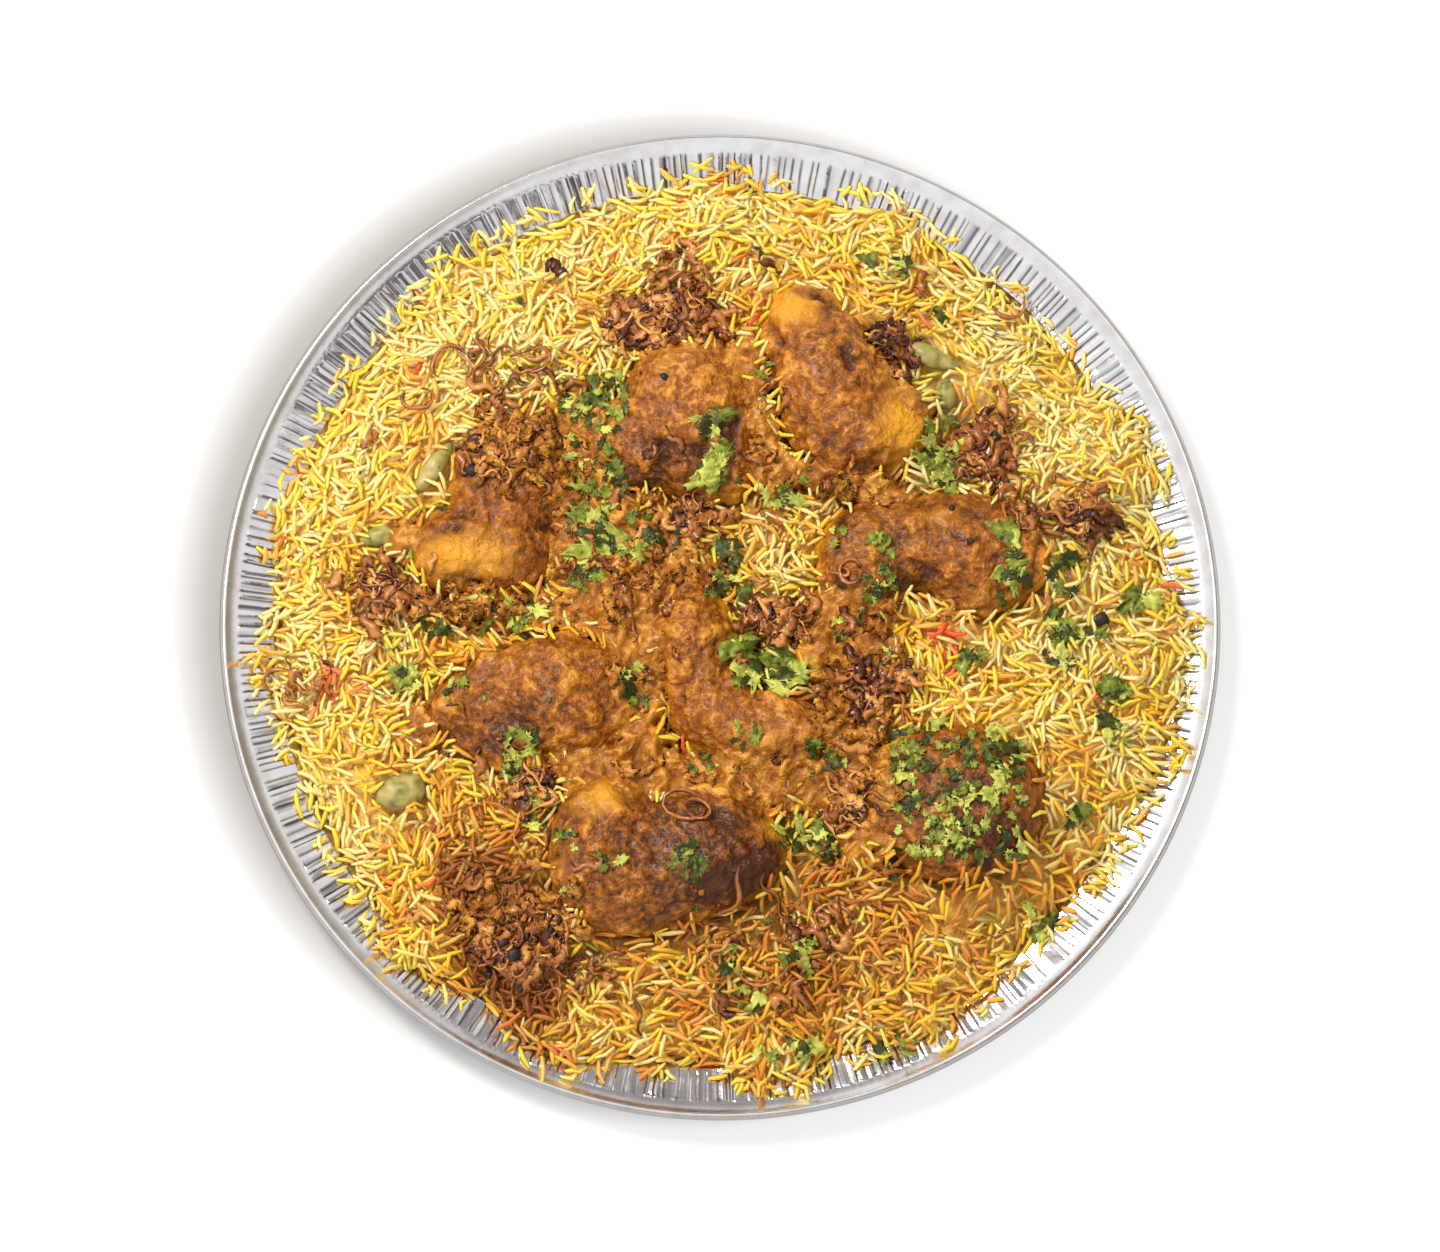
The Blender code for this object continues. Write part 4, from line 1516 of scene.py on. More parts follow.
@dataclass
class ChickenPiece:
    """A piece of chicken on the bone under its masala."""

    node: str
    finish: MasalaCoating
    thin_places: tuple[Stain, ...] = ()
    # Places painted darker: painted shade on the pieces' lower, shadowed sides, and a darker tone over
    # some whole pieces.
    dark_and_shade_places: tuple[Stain, ...] = ()
    voxel: float = 1.4 * MM
    swell: float = 2.0 * MM
    lump: float = 1.45 * MM
    fold: float = 1.5 * MM
    grit: float = 0.6 * MM
    seed: int = 41

    def build(self, ground: Ground) -> bpy.types.Object:
        """Builds the piece over its CAD solid.

        Args:
            ground: The heights to raise where the meat lies.

        Returns:
            The piece.
        """
        mesh = finer_skin(self.node, self.voxel, 4)
        places, outward = points_of(mesh)
        swells = smooth_noise(places, 26 * MM, self.seed)
        lumps = 2.2 * np.abs(layered_noise(places, 13 * MM, 2, self.seed + 3)) - 0.6
        creases = step_between(layered_noise(places, 22 * MM, 2, self.seed + 7), 0.45, 1.0)
        grit = smooth_noise(places, 3.2 * MM, self.seed + 13)
        move = self.swell * swells + self.lump * lumps - self.fold * creases + self.grit * grit
        move_points(mesh, places + outward * move[:, None])
        bare = stained(self.thin_places, places[:, 0], places[:, 1])
        bare = bare + 0.25 * layered_noise(places, 18 * MM, 2, self.seed + 19)
        bare = bare + 0.45 * step_between(-outward[:, 2], -0.62, -0.25)
        # Relief mark: raised lumps and swells painted lighter and creases darker, painted light and
        # shade over the grit's own tone.
        relief = 0.56 + 0.36 * lumps + 0.15 * swells + 0.3 * grit - 0.8 * creases
        # The darker places lower the relief mark: painted shade on the shadowed sides.
        relief -= stained(self.dark_and_shade_places, places[:, 0], places[:, 1])
        mark(mesh, "relief", np.clip(relief, -0.6, 1.2))
        mark(mesh, "skin", np.clip(bare, 0, 1.2))
        ground.raise_to(ground.cast(tree_over(mesh), *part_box(self.node)))
        return place(f"{self.node}_masala", mesh, self.finish.material(), "chicken", [self.node])


# ---------------------------------------------------------------- onions


@dataclass
class Strand:
    """The run of one fried onion strand and its section."""

    path: np.ndarray
    width: float
    thickness: float
    twist: float
    char: float


@dataclass
class OnionFryer:
    """Makes curled strands of fried onion that lie on the ground below them."""

    ground: Ground
    points_each: int = 13
    petal_share: float = 0.7
    seed: int = 61

    def __post_init__(self) -> None:
        """Starts the fryer's own random run."""
        self.rng = np.random.default_rng(self.seed)

    def strand(self, x: float, y: float, length: float, curl: float, char: float) -> Strand:
        """Lays one strand.

        Args:
            x: Where it starts, in metres.
            y: Where it starts, in metres.
            length: Its length in metres.
            curl: The tightest radius that it turns on, in metres.
            char: How dark it has fried, from 0 to 1.

        Returns:
            The strand.
        """
        rng = self.rng
        count = self.points_each
        heading = rng.uniform(0, 2 * math.pi)
        bend = rng.uniform(0.35, 1.0) / curl * rng.choice([-1, 1])
        change = rng.normal(0, 0.6) * bend
        share = np.linspace(0, 1, count)
        turn = heading + length * (bend * share + change * share**2)
        turn = turn + rng.uniform(0.4, 1.0) * np.sin(share * rng.uniform(7, 13) + heading)
        step = length / (count - 1)
        xs = x + np.concatenate([[0], np.cumsum(np.cos(turn[:-1]))]) * step
        ys = y + np.concatenate([[0], np.cumsum(np.sin(turn[:-1]))]) * step
        xs += x - xs.mean()
        ys += y - ys.mean()
        level = self.ground.height_at(xs, ys)
        smooth = level.copy()
        for _ in range(4):
            smooth[1:-1] = (smooth[:-2] + smooth[1:-1] * 2 + smooth[2:]) / 4
        lift = rng.uniform(0.2, 1.4) * MM + rng.uniform(0, 2.2) * MM * np.sin(math.pi * share) ** 2
        zs = np.maximum(smooth, level - 0.8 * MM) + lift
        width = rng.uniform(1.4, 2.8) * MM
        if length < 24 * MM and rng.random() < self.petal_share:
            width = rng.uniform(3.5, 6.5) * MM
        zs = zs + rng.normal(0, 0.28 * MM, count)
        return Strand(np.stack([xs, ys, zs], 1), width, 0.5 * MM, rng.normal(0, 2.8), char)

    def ring(self, x: float, y: float, radius: float, sweep_deg: float, char: float) -> Strand:
        """Lays one ring or part of a ring of onion.

        Args:
            x: Middle of the ring, in metres.
            y: Middle of the ring, in metres.
            radius: Its radius in metres.
            sweep_deg: How far round it goes, in degrees.
            char: How dark it has fried, from 0 to 1.

        Returns:
            The strand.
        """
        rng = self.rng
        share = np.linspace(0, 1, self.points_each)
        turn = rng.uniform(0, 6.3) + math.radians(sweep_deg) * share
        out = radius * (1 + 0.14 * np.sin(turn * 2 + rng.uniform(0, 6)))
        xs, ys = x + out * np.cos(turn), y + out * 0.85 * np.sin(turn)
        level = self.ground.height_at(xs, ys)
        zs = np.maximum(level, level.mean()) + 1.2 * MM + 0.7 * MM * np.sin(turn * 1.5)
        return Strand(np.stack([xs, ys, zs], 1), 2.2 * MM, 0.9 * MM, rng.normal(0, 0.8), char)

    def weave(self, name: str, strands: list[Strand]) -> tuple[np.ndarray, np.ndarray, np.ndarray]:
        """Gives strands their flattened, tapering bodies.

        Args:
            name: Name of the piece, for the log.
            strands: The strands.

        Returns:
            Points, triangles and the char of each point.
        """
        points, faces, chars = [], [], []
        base = 0
        for strand in strands:
            path = strand.path
            count = len(path)
            ahead = np.gradient(path, axis=0)
            ahead /= np.linalg.norm(ahead, axis=1)[:, None] + 1e-12
            side = np.cross(ahead, [0, 0, 1.0])
            side /= np.linalg.norm(side, axis=1)[:, None] + 1e-12
            up = np.cross(side, ahead)
            share = np.linspace(0, 1, count)
            roll = strand.twist * (share - 0.5) + 0.7 * np.sin(share * 8 + strand.twist * 5)
            taper = 0.35 + 0.65 * np.sin(math.pi * np.clip(share, 0.04, 0.96)) ** 0.5
            wide = strand.width / 2 * taper * (1 + 0.3 * np.sin(share * 11 + strand.twist * 3))
            thick = strand.thickness / 2 * taper
            for corner, (across, above) in enumerate(((1, 0.25), (0.1, 1), (-1, 0.25), (-0.1, -1))):
                u, v = wide * across, thick * above
                moved = side * (u * np.cos(roll) - v * np.sin(roll))[:, None]
                moved = moved + up * (u * np.sin(roll) + v * np.cos(roll))[:, None]
                points.append(path + moved)
                chars.append(strand.char + 0.35 * np.abs(2 * share - 1) ** 2)
            for corner in range(4):
                a = base + corner * count + np.arange(count - 1)
                b = base + (corner + 1) % 4 * count + np.arange(count - 1)
                faces.append(np.stack([a, a + 1, b + 1], 1))
                faces.append(np.stack([a, b + 1, b], 1))
            start = base + np.arange(4) * count
            faces.append(start[[[0, 1, 2], [0, 2, 3]]])
            faces.append((start + count - 1)[[[0, 2, 1], [0, 3, 2]]])
            base += 4 * count
        LOG.info("%s: %d strands", name, len(strands))
        return np.concatenate(points), np.concatenate(faces), np.concatenate(chars)


@dataclass
class OnionClump:
    """A tangle of fried onion over a small dark heart, in the place of a CAD clump."""

    node: str
    strands: int
    char: float = 0.3
    heart_depth: float = 0.8 * MM
    heart_lumps: float = 1.8 * MM
    seed: int = 71

    def build(self, fryer: OnionFryer, material: bpy.types.Material) -> bpy.types.Object:
        """Builds the tangle.

        Args:
            fryer: What lays the strands.
            material: The onion's finish.

        Returns:
            The piece that stands for the clump.
        """
        mesh = finer_skin(self.node, 1.8 * MM, 2)
        places, outward = points_of(mesh)
        lumps = self.heart_lumps * layered_noise(places, 4.5 * MM, 2, self.seed)
        heart = places + outward * (lumps - self.heart_depth)[:, None]
        found = fryer.ground.under(self.node)
        body = np.empty(len(mesh.polygons) * 3, np.int32)
        mesh.polygons.foreach_get("vertices", body)
        heart[:, 2] -= 1.5 * MM
        fryer.ground.raise_to(np.where(found > 0, found - 2.5 * MM, -1))
        rng = fryer.rng
        rows, columns = np.nonzero(found > 0)
        strands = []
        for _ in range(self.strands):
            pick = rng.integers(len(rows))
            x = columns[pick] * fryer.ground.step - fryer.ground.half_width
            y = rows[pick] * fryer.ground.step - fryer.ground.half_width
            shade = float(np.clip(self.char + rng.normal(0, 0.34), -0.2, 0.9))
            strands.append(
                fryer.strand(x, y, rng.uniform(8, 28) * MM, rng.uniform(3.5, 10) * MM, shade)
            )
        points, faces, chars = fryer.weave(self.node, strands)
        faces = np.concatenate([body.reshape(-1, 3), faces + len(heart)])
        chars = np.concatenate([np.full(len(heart), self.char + 0.05), chars])
        tangle = mesh_of(f"{self.node}_tangle", np.concatenate([heart, points]), faces)
        bpy.data.meshes.remove(mesh)
        mark(tangle, "char", chars)
        fryer.ground.raise_to(np.where(found > 0, found - 0.5 * MM, -1))
        return place(f"{self.node}_tangle", tangle, material, "fried_onion", [self.node])


@dataclass(frozen=True)
class Scatter:
    """A place where small pieces lie, in millimetres."""

    x: float
    y: float
    along: float
    across: float
    count: int
    size: float = 7.0

    def spots(self, rng: np.random.Generator, spread: float) -> Iterable[tuple[float, float]]:
        """Random places in metres, thinning out from the middle.

        Args:
            rng: The random run to draw from.
            spread: How far they spread, as a share of the size given.

        Returns:
            The places, drawn one by one as they are asked for.
        """
        for _ in range(self.count):
            x = (self.x + self.along * rng.normal(0, spread)) * MM
            yield x, (self.y + self.across * rng.normal(0, spread)) * MM


@dataclass
class LooseOnions:
    """Strands and rings of fried onion that lie singly over the rice and the meat."""

    places: tuple[Scatter, ...] = made(Scatter, (
        (-96, 72, 20, 18, 26, 22), (34, -150, 48, 28, 16, 24), (-92, 112, 34, 16, 16, 24),
        (-190, -30, 14, 10, 10, 20), (-100, -120, 30, 34, 18, 18), (150, 50, 28, 14, 16, 20),
        (-40, 22, 30, 22, 18, 18), (-150, 8, 22, 20, 14, 20), (127, 84, 16, 12, 7, 22),
        (-20, 160, 50, 14, 9, 22), (20, -5, 20, 14, 10, 18), (60, -60, 16, 26, 12, 18),
        (-70, -165, 30, 20, 14, 24), (0, 0, 175, 175, 44, 16),
    ))
    rings: tuple[tuple[float, float, float, float], ...] = (
        (-124, 119, 8.5, 210), (-85, 119, 7.0, 250), (-138, 102, 6.5, 280), (-199, -28, 8.0, 230),
        (132, 150, 9.0, 170), (59, 18, 5.5, 330), (-16, -90, 9.0, 345), (-10, -92, 5.5, 340),
        (20, -160, 11.0, 200), (52, -140, 9.0, 230),
    )
    reach: float = 200.0 * MM

    def build(self, fryer: OnionFryer, material: bpy.types.Material) -> bpy.types.Object:
        """Builds all the loose strands as one piece.

        Args:
            fryer: What lays the strands.
            material: The onion's finish.

        Returns:
            The piece.
        """
        rng = fryer.rng
        strands = []
        for spot in self.places:
            for x, y in spot.spots(rng, 0.6):
                if math.hypot(x, y) > self.reach:
                    continue
                char = float(np.clip(rng.normal(0.3, 0.2), 0, 0.9))
                length = spot.size * rng.uniform(0.5, 1.3) * MM
                strands.append(fryer.strand(x, y, length, rng.uniform(4, 12) * MM, char))
        for x, y, radius, sweep in self.rings:
            strands.append(fryer.ring(x * MM, y * MM, radius * MM, sweep, 0.3))
        points, faces, chars = fryer.weave("fried_onion_loose", strands)
        mesh = mesh_of("fried_onion_loose", points, faces)
        mark(mesh, "char", chars)
        return place("fried_onion_loose", mesh, material, "fried_onion")


# ---------------------------------------------------------------- chillies, herbs and spice


@dataclass
class GreenChilli:
    """A whole or torn green chilli, shrunk a little in the cooking."""

    node: str
    seed: int = 83

    def build(self, ground: Ground, material: bpy.types.Material) -> bpy.types.Object:
        """Builds the chilli over its CAD solid.

        Args:
            ground: The heights to raise where it lies.
            material: The chilli's finish.

        Returns:
            The piece.
        """
        mesh = finer_skin(self.node, 0.9 * MM, 3)
        places, outward = points_of(mesh)
        folds = layered_noise(places, 6 * MM, 2, self.seed)
        move_points(mesh, places + outward * (0.55 * MM * folds)[:, None])
        ground.raise_to(ground.under(self.node))
        return place(f"{self.node}_skin", mesh, material, "green_chilli", [self.node])


@dataclass
class Coriander:
    """Chopped coriander leaves, thrown on in heaps and singly."""

    ground: Ground
    seed: int = 97
    thickness: float = 0.18 * MM
    lift_limit: float = 3.5 * MM
    growth: float = 1.15
    plenty: float = 1.5
    corners: int = 18
    places: tuple[Scatter, ...] = made(Scatter, (
        (-57, 69, 15, 40, 44, 8), (-46, 106, 6, 6, 4, 8), (-66, 104, 6, 8, 5, 8),
        (-52, 34, 8, 5, 3, 15), (-31, 34, 11, 11, 6, 12), (-61, 20, 8, 7, 6, 9),
        (-3, 76, 9, 17, 15, 10), (-98, 2, 14, 7, 9, 9), (-130, -7, 6, 4, 4, 9),
        (-144, -28, 6, 7, 5, 8), (-121, -33, 4, 4, 2, 7), (-89, -67, 8, 11, 9, 8),
        (-82, -90, 4, 10, 6, 8), (-39, -30, 5, 11, 6, 9), (21, -25, 15, 12, 9, 15),
        (12, -58, 6, 5, 4, 8), (-9, -70, 5, 5, 3, 7), (4, 21, 8, 12, 8, 9), (29, 58, 9, 6, 7, 9),
        (54, 35, 4, 4, 3, 6), (73, 30, 5, 4, 4, 6), (73, 14, 7, 8, 7, 7), (59, -4, 6, 5, 4, 8),
        (132, 23, 6, 17, 10, 10), (100, 76, 8, 15, 11, 10), (77, 164, 9, 5, 4, 9),
        (20, 112, 4, 4, 2, 6), (155, 9, 6, 18, 8, 10), (193, 10, 5, 4, 3, 14),
        (159, -10, 7, 7, 5, 9), (155, -17, 6, 5, 3, 8), (114, -21, 6, 5, 3, 8),
        (180, -47, 5, 18, 9, 9), (166, -92, 7, 6, 4, 9), (146, -138, 6, 7, 4, 9),
        (108, -82, 30, 32, 120, 7), (50, -67, 9, 8, 8, 8), (39, -102, 13, 8, 14, 8),
        (-69, -107, 5, 5, 4, 7), (-50, -116, 5, 5, 3, 7), (-14, -114, 7, 10, 8, 9),
        (6, -158, 5, 6, 4, 8), (13, -176, 6, 6, 4, 9), (36, -155, 7, 7, 5, 8),
        (32, -197, 16, 4, 7, 8), (79, -195, 7, 5, 4, 9), (171, -5, 5, 5, 3, 8),
        (0, 0, 150, 150, 22, 5),
    ))

    def leaf(self, x: float, y: float, size: float, rng: np.random.Generator
             ) -> tuple[np.ndarray, np.ndarray]:
        """Cuts one leaf and lays it on what is under it.

        Args:
            x: Middle of the leaf, in metres.
            y: Middle of the leaf, in metres.
            size: Its length in metres.
            rng: The random run to draw from.

        Returns:
            Its points and triangles: an upper and a lower face with an edge between them.
        """
        count = self.corners
        turn = np.linspace(0, 2 * math.pi, count, endpoint=False)
        lobes = rng.choice([1, 2, 3, 3])
        out = 0.70 + 0.16 * np.cos(lobes * turn + rng.uniform(0, 6))
        out = out + 0.26 * (np.arange(count) % 2 - 0.5) + rng.normal(0, 0.13, count)
        out = np.clip(out, 0.25, 1.15) * size / 2
        stretch = rng.uniform(0.4, 0.85)
        u, v = out * np.cos(turn), out * np.sin(turn) * stretch
        rim = np.stack([u, v], 1)
        flat = np.concatenate([[[0.0, 0.0]], rim * 0.55, rim])
        fold, curl, dish = rng.normal(0, 75), rng.normal(0, 60), rng.normal(0, 40)
        rise = fold * flat[:, 1] ** 2 + curl * flat[:, 0] ** 2 * np.sign(flat[:, 0])
        rise = rise + dish * flat[:, 0] * flat[:, 1]
        rise = rise + rng.normal(0, 0.55 * MM, len(flat))
        heading = rng.uniform(0, 2 * math.pi)
        cos, sin = math.cos(heading), math.sin(heading)
        ground_x = x + flat[:, 0] * cos - flat[:, 1] * sin
        ground_y = y + flat[:, 0] * sin + flat[:, 1] * cos
        reach = 3.0 * MM
        level = self.ground.height_at(ground_x, ground_y)
        height_at = self.ground.height_at
        dx = height_at(x + reach, y) - height_at(x - reach, y)
        dy = height_at(x, y + reach) - height_at(x, y - reach)
        slope_x = float(np.clip(dx / (2 * reach), -1.2, 1.2)) + rng.normal(0, 0.22)
        slope_y = float(np.clip(dy / (2 * reach), -1.2, 1.2)) + rng.normal(0, 0.22)
        z = rise + slope_x * (ground_x - x) + slope_y * (ground_y - y)
        z = z + np.percentile(level - z, 72) + rng.uniform(0.1, 0.7) * MM
        z = np.minimum(z, level + self.lift_limit)
        top = np.stack([ground_x, ground_y, z], 1)
        under = top[[0, *range(1 + count, 1 + 2 * count)]] - [0, 0, self.thickness]
        inner = 1 + np.arange(count)
        inner_next = 1 + (np.arange(count) + 1) % count
        rim_a, rim_b = inner + count, inner_next + count
        low_a, low_b = inner + 2 * count + 1, inner_next + 2 * count + 1
        faces = [
            np.stack([0 * inner, inner, inner_next], 1),
            np.stack([inner, rim_a, rim_b], 1),
            np.stack([inner, rim_b, inner_next], 1),
            np.stack([0 * inner + 2 * count + 1, low_b, low_a], 1),
            np.stack([rim_a, low_a, low_b], 1),
            np.stack([rim_a, low_b, rim_b], 1),
        ]
        return np.concatenate([top, under]), np.concatenate(faces)

    def build(self) -> bpy.types.Object:
        """Builds all the leaves as one piece.

        Returns:
            The piece.
        """
        rng = np.random.default_rng(self.seed)
        points, faces, wilts = [], [], []
        base = 0
        for spot in self.places:
            for _ in range(round(spot.count * self.plenty)):
                x = (spot.x + spot.along * rng.uniform(-1, 1)) * MM
                y = (spot.y + spot.across * rng.uniform(-1, 1)) * MM
                size = spot.size * self.growth * rng.lognormal(0, 0.3) * MM
                leaf_points, leaf_faces = self.leaf(x, y, size, rng)
                points.append(leaf_points)
                faces.append(leaf_faces + base)
                base += len(leaf_points)
                wilt = np.clip(rng.normal(0.42, 0.26), -0.1, 0.95)
                wilts.append(np.full(len(leaf_points), wilt))
        mesh = mesh_of("coriander_leaves", np.concatenate(points), np.concatenate(faces))
        mark(mesh, "wilt", np.concatenate(wilts))
        LOG.info("coriander_leaves: %d leaves", len(points))
        return place("coriander_leaves", mesh, CUT_CORIANDER.material())


@dataclass
class MasalaPaste:
    """Coarse masala left between and beside the pieces, draped over rice and meat alike."""

    ground: Ground
    finish: MasalaCoating
    places: tuple[Stain, ...] = made(Stain, (
        (-62, 62, 13, 44, 0, 1.3), (-38, 26, 32, 24, 0, 1.4), (20, 78, 7, 46, 10, 1.2),
        (58, 60, 38, 7, -12, 1.2), (-100, 3, 36, 9, -5, 0.9), (-38, -30, 12, 42, 0, 1.4),
        (8, -76, 54, 12, -4, 1.4), (62, -62, 14, 54, 5, 1.4), (58, -8, 22, 22, 0, 1.2),
        (-66, -70, 18, 8, 0, 1.0), (-88, 78, 28, 18, 0, 1.2), (-142, 36, 12, 12, 0, 0.9),
        (-138, -50, 9, 12, 0, 0.9), (-88, -142, 26, 14, -40, 1.0), (-10, 116, 26, 10, 10, 0.9),
        (88, 98, 16, 9, -50, 0.9), (20, 34, 6, 8, 0, -1.2),
    ))
    thickness: float = 2.2 * MM
    backing: float = 1.2 * MM
    narrow_turn: int = 2
    wide_turns: int = 90
    seed: int = 113

    def level(self) -> np.ndarray:
        """The ground with its narrow gaps filled, as thick gravy fills them.

        Returns:
            Heights over the grid, in metres.
        """
        height = self.ground.height
        small, wide = height.copy(), height.copy()
        for turn in range(self.wide_turns):
            wide = blurred(wide)
            if turn == self.narrow_turn:
                small = wide.copy()
        return np.maximum(small, wide - 1.0 * MM)

    def build(self) -> bpy.types.Object:
        """Builds the paste as one closed skin, thinning out to nothing at its edges.

        Returns:
            The piece.
        """
        ground = self.ground
        x, y = ground.x.ravel(), ground.y.ravel()
        ragged = layered_noise(flat_points(x, y), 9 * MM, 3, self.seed)
        amount = stained(self.places, x, y) - 0.5 + 0.22 * ragged
        level = self.level()
        points = np.stack([x, y, level.ravel()], 1)
        body = self.thickness * np.clip(amount * 2.2, -1.2, 1)
        grain = layered_noise(points, 4.2 * MM, 3, self.seed + 2)
        lumps = 2.2 * np.abs(layered_noise(points, 12 * MM, 2, self.seed + 4)) - 0.6
        z = level.ravel() + body + 1.0 * MM * grain + 1.9 * MM * lumps
        z = np.where(amount > 0.15, z, np.minimum(z, ground.height.ravel() + body * 0.8))
        z -= 0.4 * MM
        kept = (amount > -0.22).reshape(level.shape)
        number = np.full(level.shape, -1)
        number[kept] = np.arange(kept.sum())
        whole = kept[:-1, :-1] & kept[:-1, 1:] & kept[1:, 1:] & kept[1:, :-1]
        a, b = number[:-1, :-1][whole], number[:-1, 1:][whole]
        c, d = number[1:, 1:][whole], number[1:, :-1][whole]
        faces = np.concatenate([np.stack([a, b, c], 1), np.stack([a, c, d], 1)])
        chosen = kept.ravel()
        top = np.stack([x[chosen], y[chosen], z[chosen]], 1)
        sheet = mesh_of("masala_paste", top, faces)
        holder = bpy.data.objects.new("holder", sheet)
        bpy.context.scene.collection.objects.link(holder)
        shell = holder.modifiers.new("body", "SOLIDIFY")
        shell.thickness = self.backing
        shell.offset = -1.0
        graph = bpy.context.evaluated_depsgraph_get()
        mesh = bpy.data.meshes.new_from_object(holder.evaluated_get(graph))
        bpy.data.objects.remove(holder)
        count = len(top)
        relief = np.full(len(mesh.vertices), 0.3)
        # Low places in the paste get the hollow colour: painted shade.
        relief[:count] = np.clip(0.5 + 0.3 * grain[chosen] + 0.4 * lumps[chosen], -0.3, 1.2)
        mark(mesh, "relief", relief)
        bare = np.zeros(len(mesh.vertices))
        bare[:count] = np.clip(0.2 + 0.3 * ragged[chosen], 0, 1)
        mark(mesh, "skin", bare)
        ground.raise_to(np.where(kept, z.reshape(level.shape), -1.0))
        mesh.polygons.foreach_set("use_smooth", np.ones(len(mesh.polygons), bool))
        return place("masala_paste", mesh, self.finish.material())


@dataclass
class MasalaShreds:
    """Shreds of onion and meat fibre cooked into the masala, lying all over the paste."""

    fryer: OnionFryer
    places: tuple[Scatter, ...] = made(Scatter, (
        (-62, 62, 12, 38, 10, 13), (-38, 26, 30, 22, 22, 14), (20, 78, 7, 40, 7, 12),
        (58, 60, 34, 7, 7, 12), (-38, -30, 12, 36, 8, 12), (8, -76, 48, 12, 8, 13),
        (62, -62, 14, 50, 22, 14), (58, -8, 20, 20, 9, 13), (-92, 76, 26, 18, 50, 15),
        (-90, -140, 26, 16, 34, 14), (-100, 3, 32, 8, 20, 12),
    ))
    widening: float = 1.35
    sink: float = 0.5 * MM
    seed: int = 211

    def build(self, material: bpy.types.Material) -> bpy.types.Object:
        """Builds all the shreds as one piece.

        Args:
            material: The masala that coats them.

        Returns:
            The piece.
        """
        rng = np.random.default_rng(self.seed)
        strands = []
        for spot in self.places:
            for x, y in spot.spots(rng, 0.55):
                length = spot.size * rng.uniform(0.5, 1.3) * MM
                shade = float(rng.uniform(0.1, 0.8))
                strand = self.fryer.strand(x, y, length, rng.uniform(6, 20) * MM, shade)
                strand.width *= self.widening
                strand.path[:, 2] -= self.sink
                strands.append(strand)
        points, faces, shades = self.fryer.weave("masala_shreds", strands)
        mesh = mesh_of("masala_shreds", points, faces)
        mark(mesh, "relief", np.clip(1.1 - shades, 0, 1.2))
        mark(mesh, "skin", np.clip(0.3 - 0.3 * shades, 0, 1))
        return place("masala_shreds", mesh, material)


@dataclass
class SoftBits:
    """Small rounded bits that settle on the food, such as crumbs of masala or whole spices."""

    ground: Ground
    name: str
    places: tuple[Scatter, ...]
    squash: float = 0.6
    rough: float = 0.25
    fineness: int = 2
    seed: int = 131

    def build(self, material: bpy.types.Material, marks: dict[str, tuple[float, float]]
              ) -> bpy.types.Object:
        """Builds the bits as one piece.

        Args:
            material: Their finish.
            marks: For each mark that the finish reads, its middle value and its spread.

        Returns:
            The piece.
        """
        rng = np.random.default_rng(self.seed)
        ball = bmesh.new()
        bmesh.ops.create_icosphere(ball, subdivisions=self.fineness, radius=1.0)
        shell = np.array([vertex.co[:] for vertex in ball.verts])
        faces = np.array([[vertex.index for vertex in face.verts] for face in ball.faces])
        ball.free()
        points, triangles = [], []
        values: dict[str, list[np.ndarray]] = {name: [] for name in marks}
        for spot in self.places:
            for x, y in spot.spots(rng, 0.5):
                size = spot.size * rng.lognormal(0, 0.35) / 2 * MM
                lumps = layered_noise(shell * 10 * MM, 9 * MM, 2, rng.integers(999))
                shape = shell * (1 + self.rough * lumps)[:, None]
                shape = shape * [size * rng.uniform(1.0, 1.6), size, size * self.squash]
                heading = rng.uniform(0, 6.3)
                cos, sin = math.cos(heading), math.sin(heading)
                turned = shape @ np.array([[cos, sin, 0], [-sin, cos, 0], [0, 0, 1]])
                level = self.ground.height_at(x, y)
                lift = size * self.squash * 0.35
                points.append(turned + [x, y, float(level) + lift])
                triangles.append(faces + len(shell) * (len(points) - 1))
                for name, (middle, spread) in marks.items():
                    values[name].append(np.full(len(shell), rng.normal(middle, spread)))
        mesh = mesh_of(self.name, np.concatenate(points), np.concatenate(triangles))
        for name, rows in values.items():
            mark(mesh, name, np.clip(np.concatenate(rows), 0, 1.2))
        return place(self.name, mesh, material)


# ---------------------------------------------------------------- the whole dish


CHICKEN_THIN_PLACES: dict[str, tuple[Stain, ...]] = {
    "chicken_back_left": (Stain(-55, 98, 8, 10, 0, 0.5),),
    "chicken_back_right": (Stain(30, 142, 16, 9, -20, 1.0), Stain(84, 84, 12, 18, 10, 1.0)),
    "chicken_right": (Stain(44, 40, 7, 14, 0, 0.9), Stain(96, 44, 22, 6, 0, 0.4)),
    "chicken_left": (Stain(-118, 26, 26, 14, -5, 0.8),),
    "chicken_middle_left": (Stain(-95, -6, 34, 6, 8, 0.7),),
    "chicken_leg_middle": (Stain(20, -60, 18, 10, 0, 0.35),),
    "chicken_front": (Stain(-52, -86, 12, 10, 0, 0.9), Stain(28, -100, 8, 6, 0, 0.9)),
    "chicken_front_right": (Stain(72, -60, 10, 8, 0, 0.9), Stain(130, -60, 10, 12, 0, 0.3)),
}
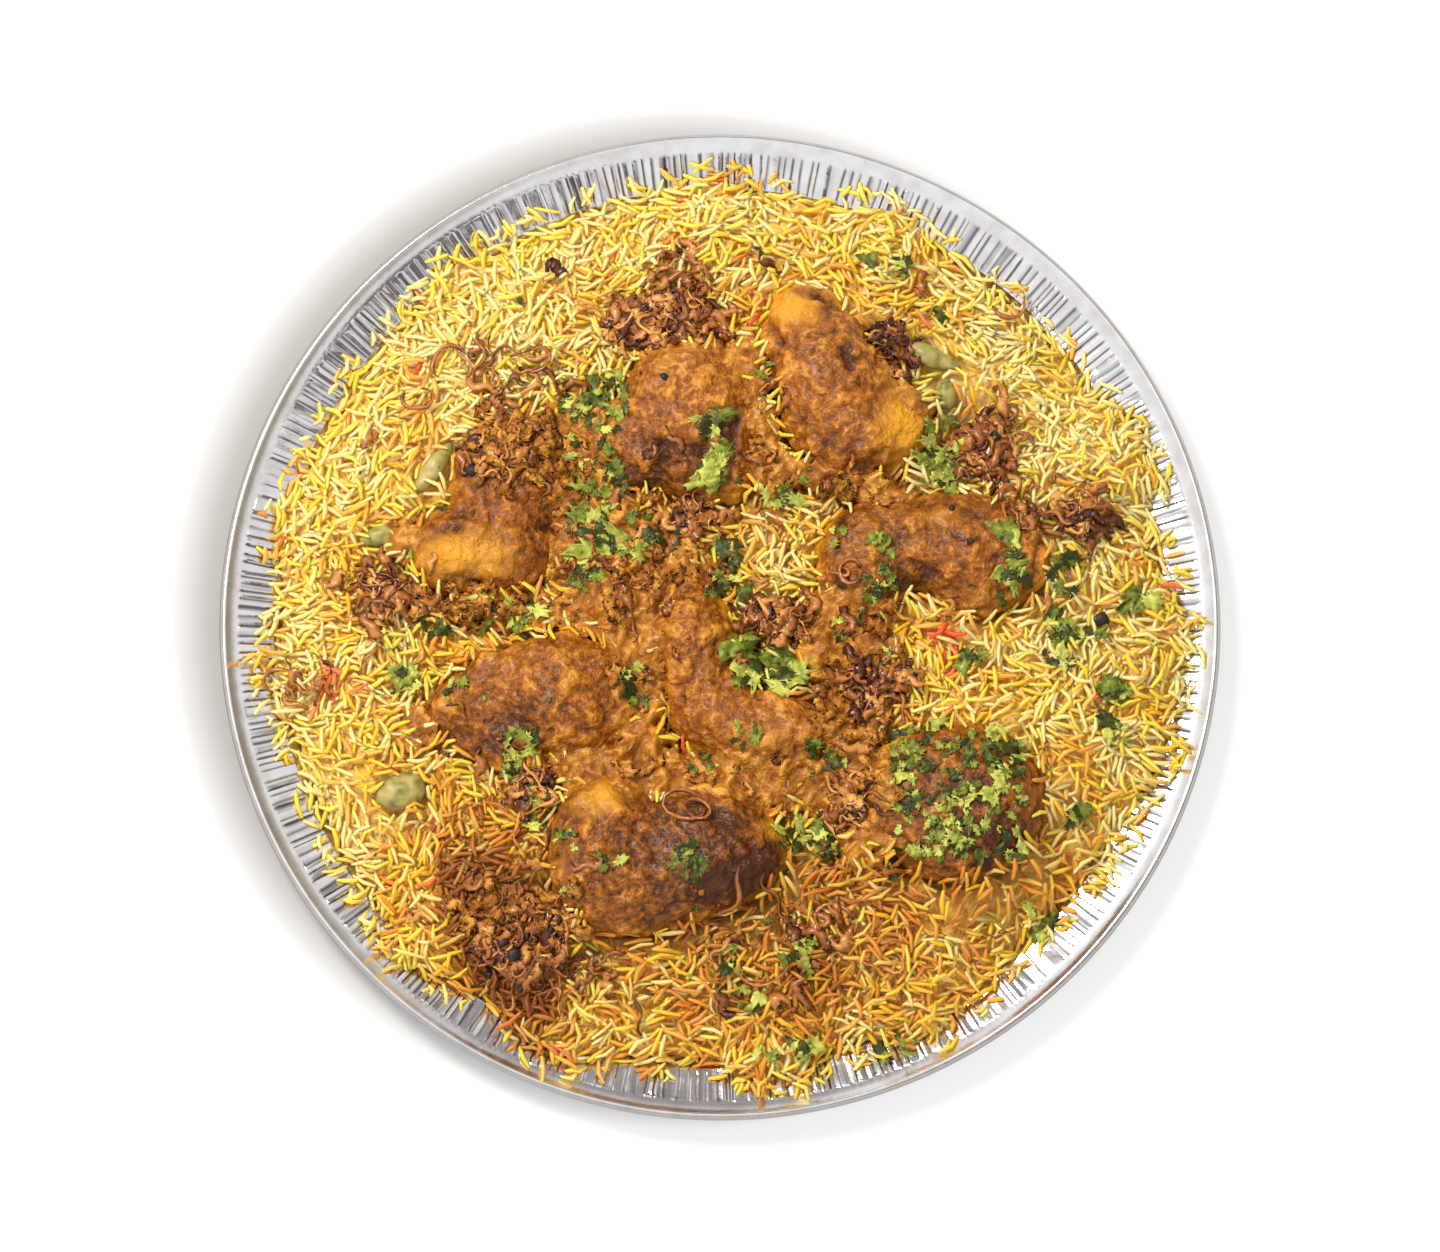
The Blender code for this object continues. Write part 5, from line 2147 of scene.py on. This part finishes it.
# Places painted darker on each piece: painted shade on the lower, shadowed sides, and a darker tone
# over some whole pieces.
CHICKEN_DARK_AND_SHADE_PLACES: dict[str, tuple[Stain, ...]] = {
    "chicken_back_left": (Stain(-14, 64, 30, 12, 20, 0.35), Stain(-45, 66, 16, 20, 0, 0.3)),
    "chicken_back_right": (Stain(50, 106, 60, 60, 0, 0.16), Stain(62, 72, 18, 8, -20, 0.5)),
    "chicken_right": (Stain(92, 34, 70, 40, 0, 0.22), Stain(86, 14, 16, 8, 0, 0.6)),
    "chicken_left": (Stain(-88, 76, 26, 16, 20, 0.3), Stain(-100, 30, 50, 50, 0, 0.27)),
    "chicken_middle_left": (Stain(-88, -42, 70, 40, 0, 0.18), Stain(-104, -58, 30, 8, 30, 0.5)),
    "chicken_leg_middle": (Stain(2, -30, 60, 60, 0, 0.05),),
    "chicken_front": (Stain(-16, -110, 70, 40, 0, 0.52), Stain(8, -122, 22, 9, 20, 0.9)),
    "chicken_front_right": (Stain(110, -84, 60, 50, 0, 0.33), Stain(128, -104, 20, 14, 0, 0.5)),
}
ONION_STRANDS: dict[str, int] = {
    "fried_onion_back": 58, "fried_onion_back_right": 30, "fried_onion_right": 34,
    "fried_onion_far_right": 22, "fried_onion_centre": 22, "fried_onion_middle": 34,
    "fried_onion_middle_right": 34, "fried_onion_front_right": 26, "fried_onion_far_left": 26,
    "fried_onion_front_left": 50, "fried_onion_front_gap": 26,
}
MASALA_CRUMBS: tuple[Scatter, ...] = made(Scatter, (
    (-41, 24, 40, 36, 50, 2.0), (46, -62, 18, 44, 40, 2.0), (-88, 66, 34, 26, 40, 1.8),
    (-100, -110, 30, 40, 60, 2.0), (30, -140, 60, 20, 40, 1.8), (0, 0, 130, 130, 60, 1.6),
))
WHOLE_SPICES: tuple[Scatter, ...] = made(Scatter, (
    (-112, 66, 1, 1, 1, 7.5), (173, -1, 1, 1, 1, 5.5), (-96, -160, 16, 22, 5, 3.5),
    (-30, 118, 20, 10, 3, 3.0), (120, 60, 40, 40, 3, 3.0),
))


def main() -> None:
    """Builds the classes in order and reports each piece."""
    logging.basicConfig(level=logging.INFO, format="%(message)s")
    Studio().build()
    tray = FoilTray()
    ground = Ground()
    pieces = [tray.build()]
    heap = RiceHeap(ground, tray)
    heap.survey()
    masala = MasalaCoating()
    chickens = sorted(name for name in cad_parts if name.startswith("chicken"))
    for number, node in enumerate(chickens):
        thin = CHICKEN_THIN_PLACES.get(node, ())
        dark = CHICKEN_DARK_AND_SHADE_PLACES.get(node, ())
        pieces.append(ChickenPiece(node, masala, thin, dark, seed=41 + 5 * number).build(ground))
    chilli = STEWED_CHILLI.material()
    for node in sorted(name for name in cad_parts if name.startswith("green_chilli")):
        pieces.append(GreenChilli(node).build(ground, chilli))
    pieces += heap.build()
    paste = MasalaCoating(
        "masala_paste_coarse", "#DA9C42", "#A2621C", "#5C2E0C", "#D29430", grit=1.2 * MM,
    )
    pieces.append(MasalaPaste(ground, paste).build())
    crumbs = SoftBits(ground, "masala_crumbs", MASALA_CRUMBS, 0.55, 0.5, fineness=1)
    pieces.append(crumbs.build(masala.material(), {"relief": (0.35, 0.25), "skin": (0.05, 0.1)}))
    fried = FRIED_ONION.material()
    fryer = OnionFryer(ground)
    pieces.append(MasalaShreds(fryer).build(paste.material()))
    for node, strands in ONION_STRANDS.items():
        pieces.append(OnionClump(node, strands).build(fryer, fried))
    pieces.append(LooseOnions().build(fryer, fried))
    pieces.append(Coriander(ground).build())
    spices = SoftBits(ground, "whole_spices", WHOLE_SPICES, squash=0.8, rough=0.3, seed=151)
    pieces.append(spices.build(WHOLE_SPICE.material(), {}))
    total = 0
    for piece in pieces:
        faces = len(piece.data.polygons)
        total += faces
        LOG.info("%s: %d triangles", piece.name, faces)
    LOG.info("triangles in all: %d", total)


if __name__ == "__main__":
    main()
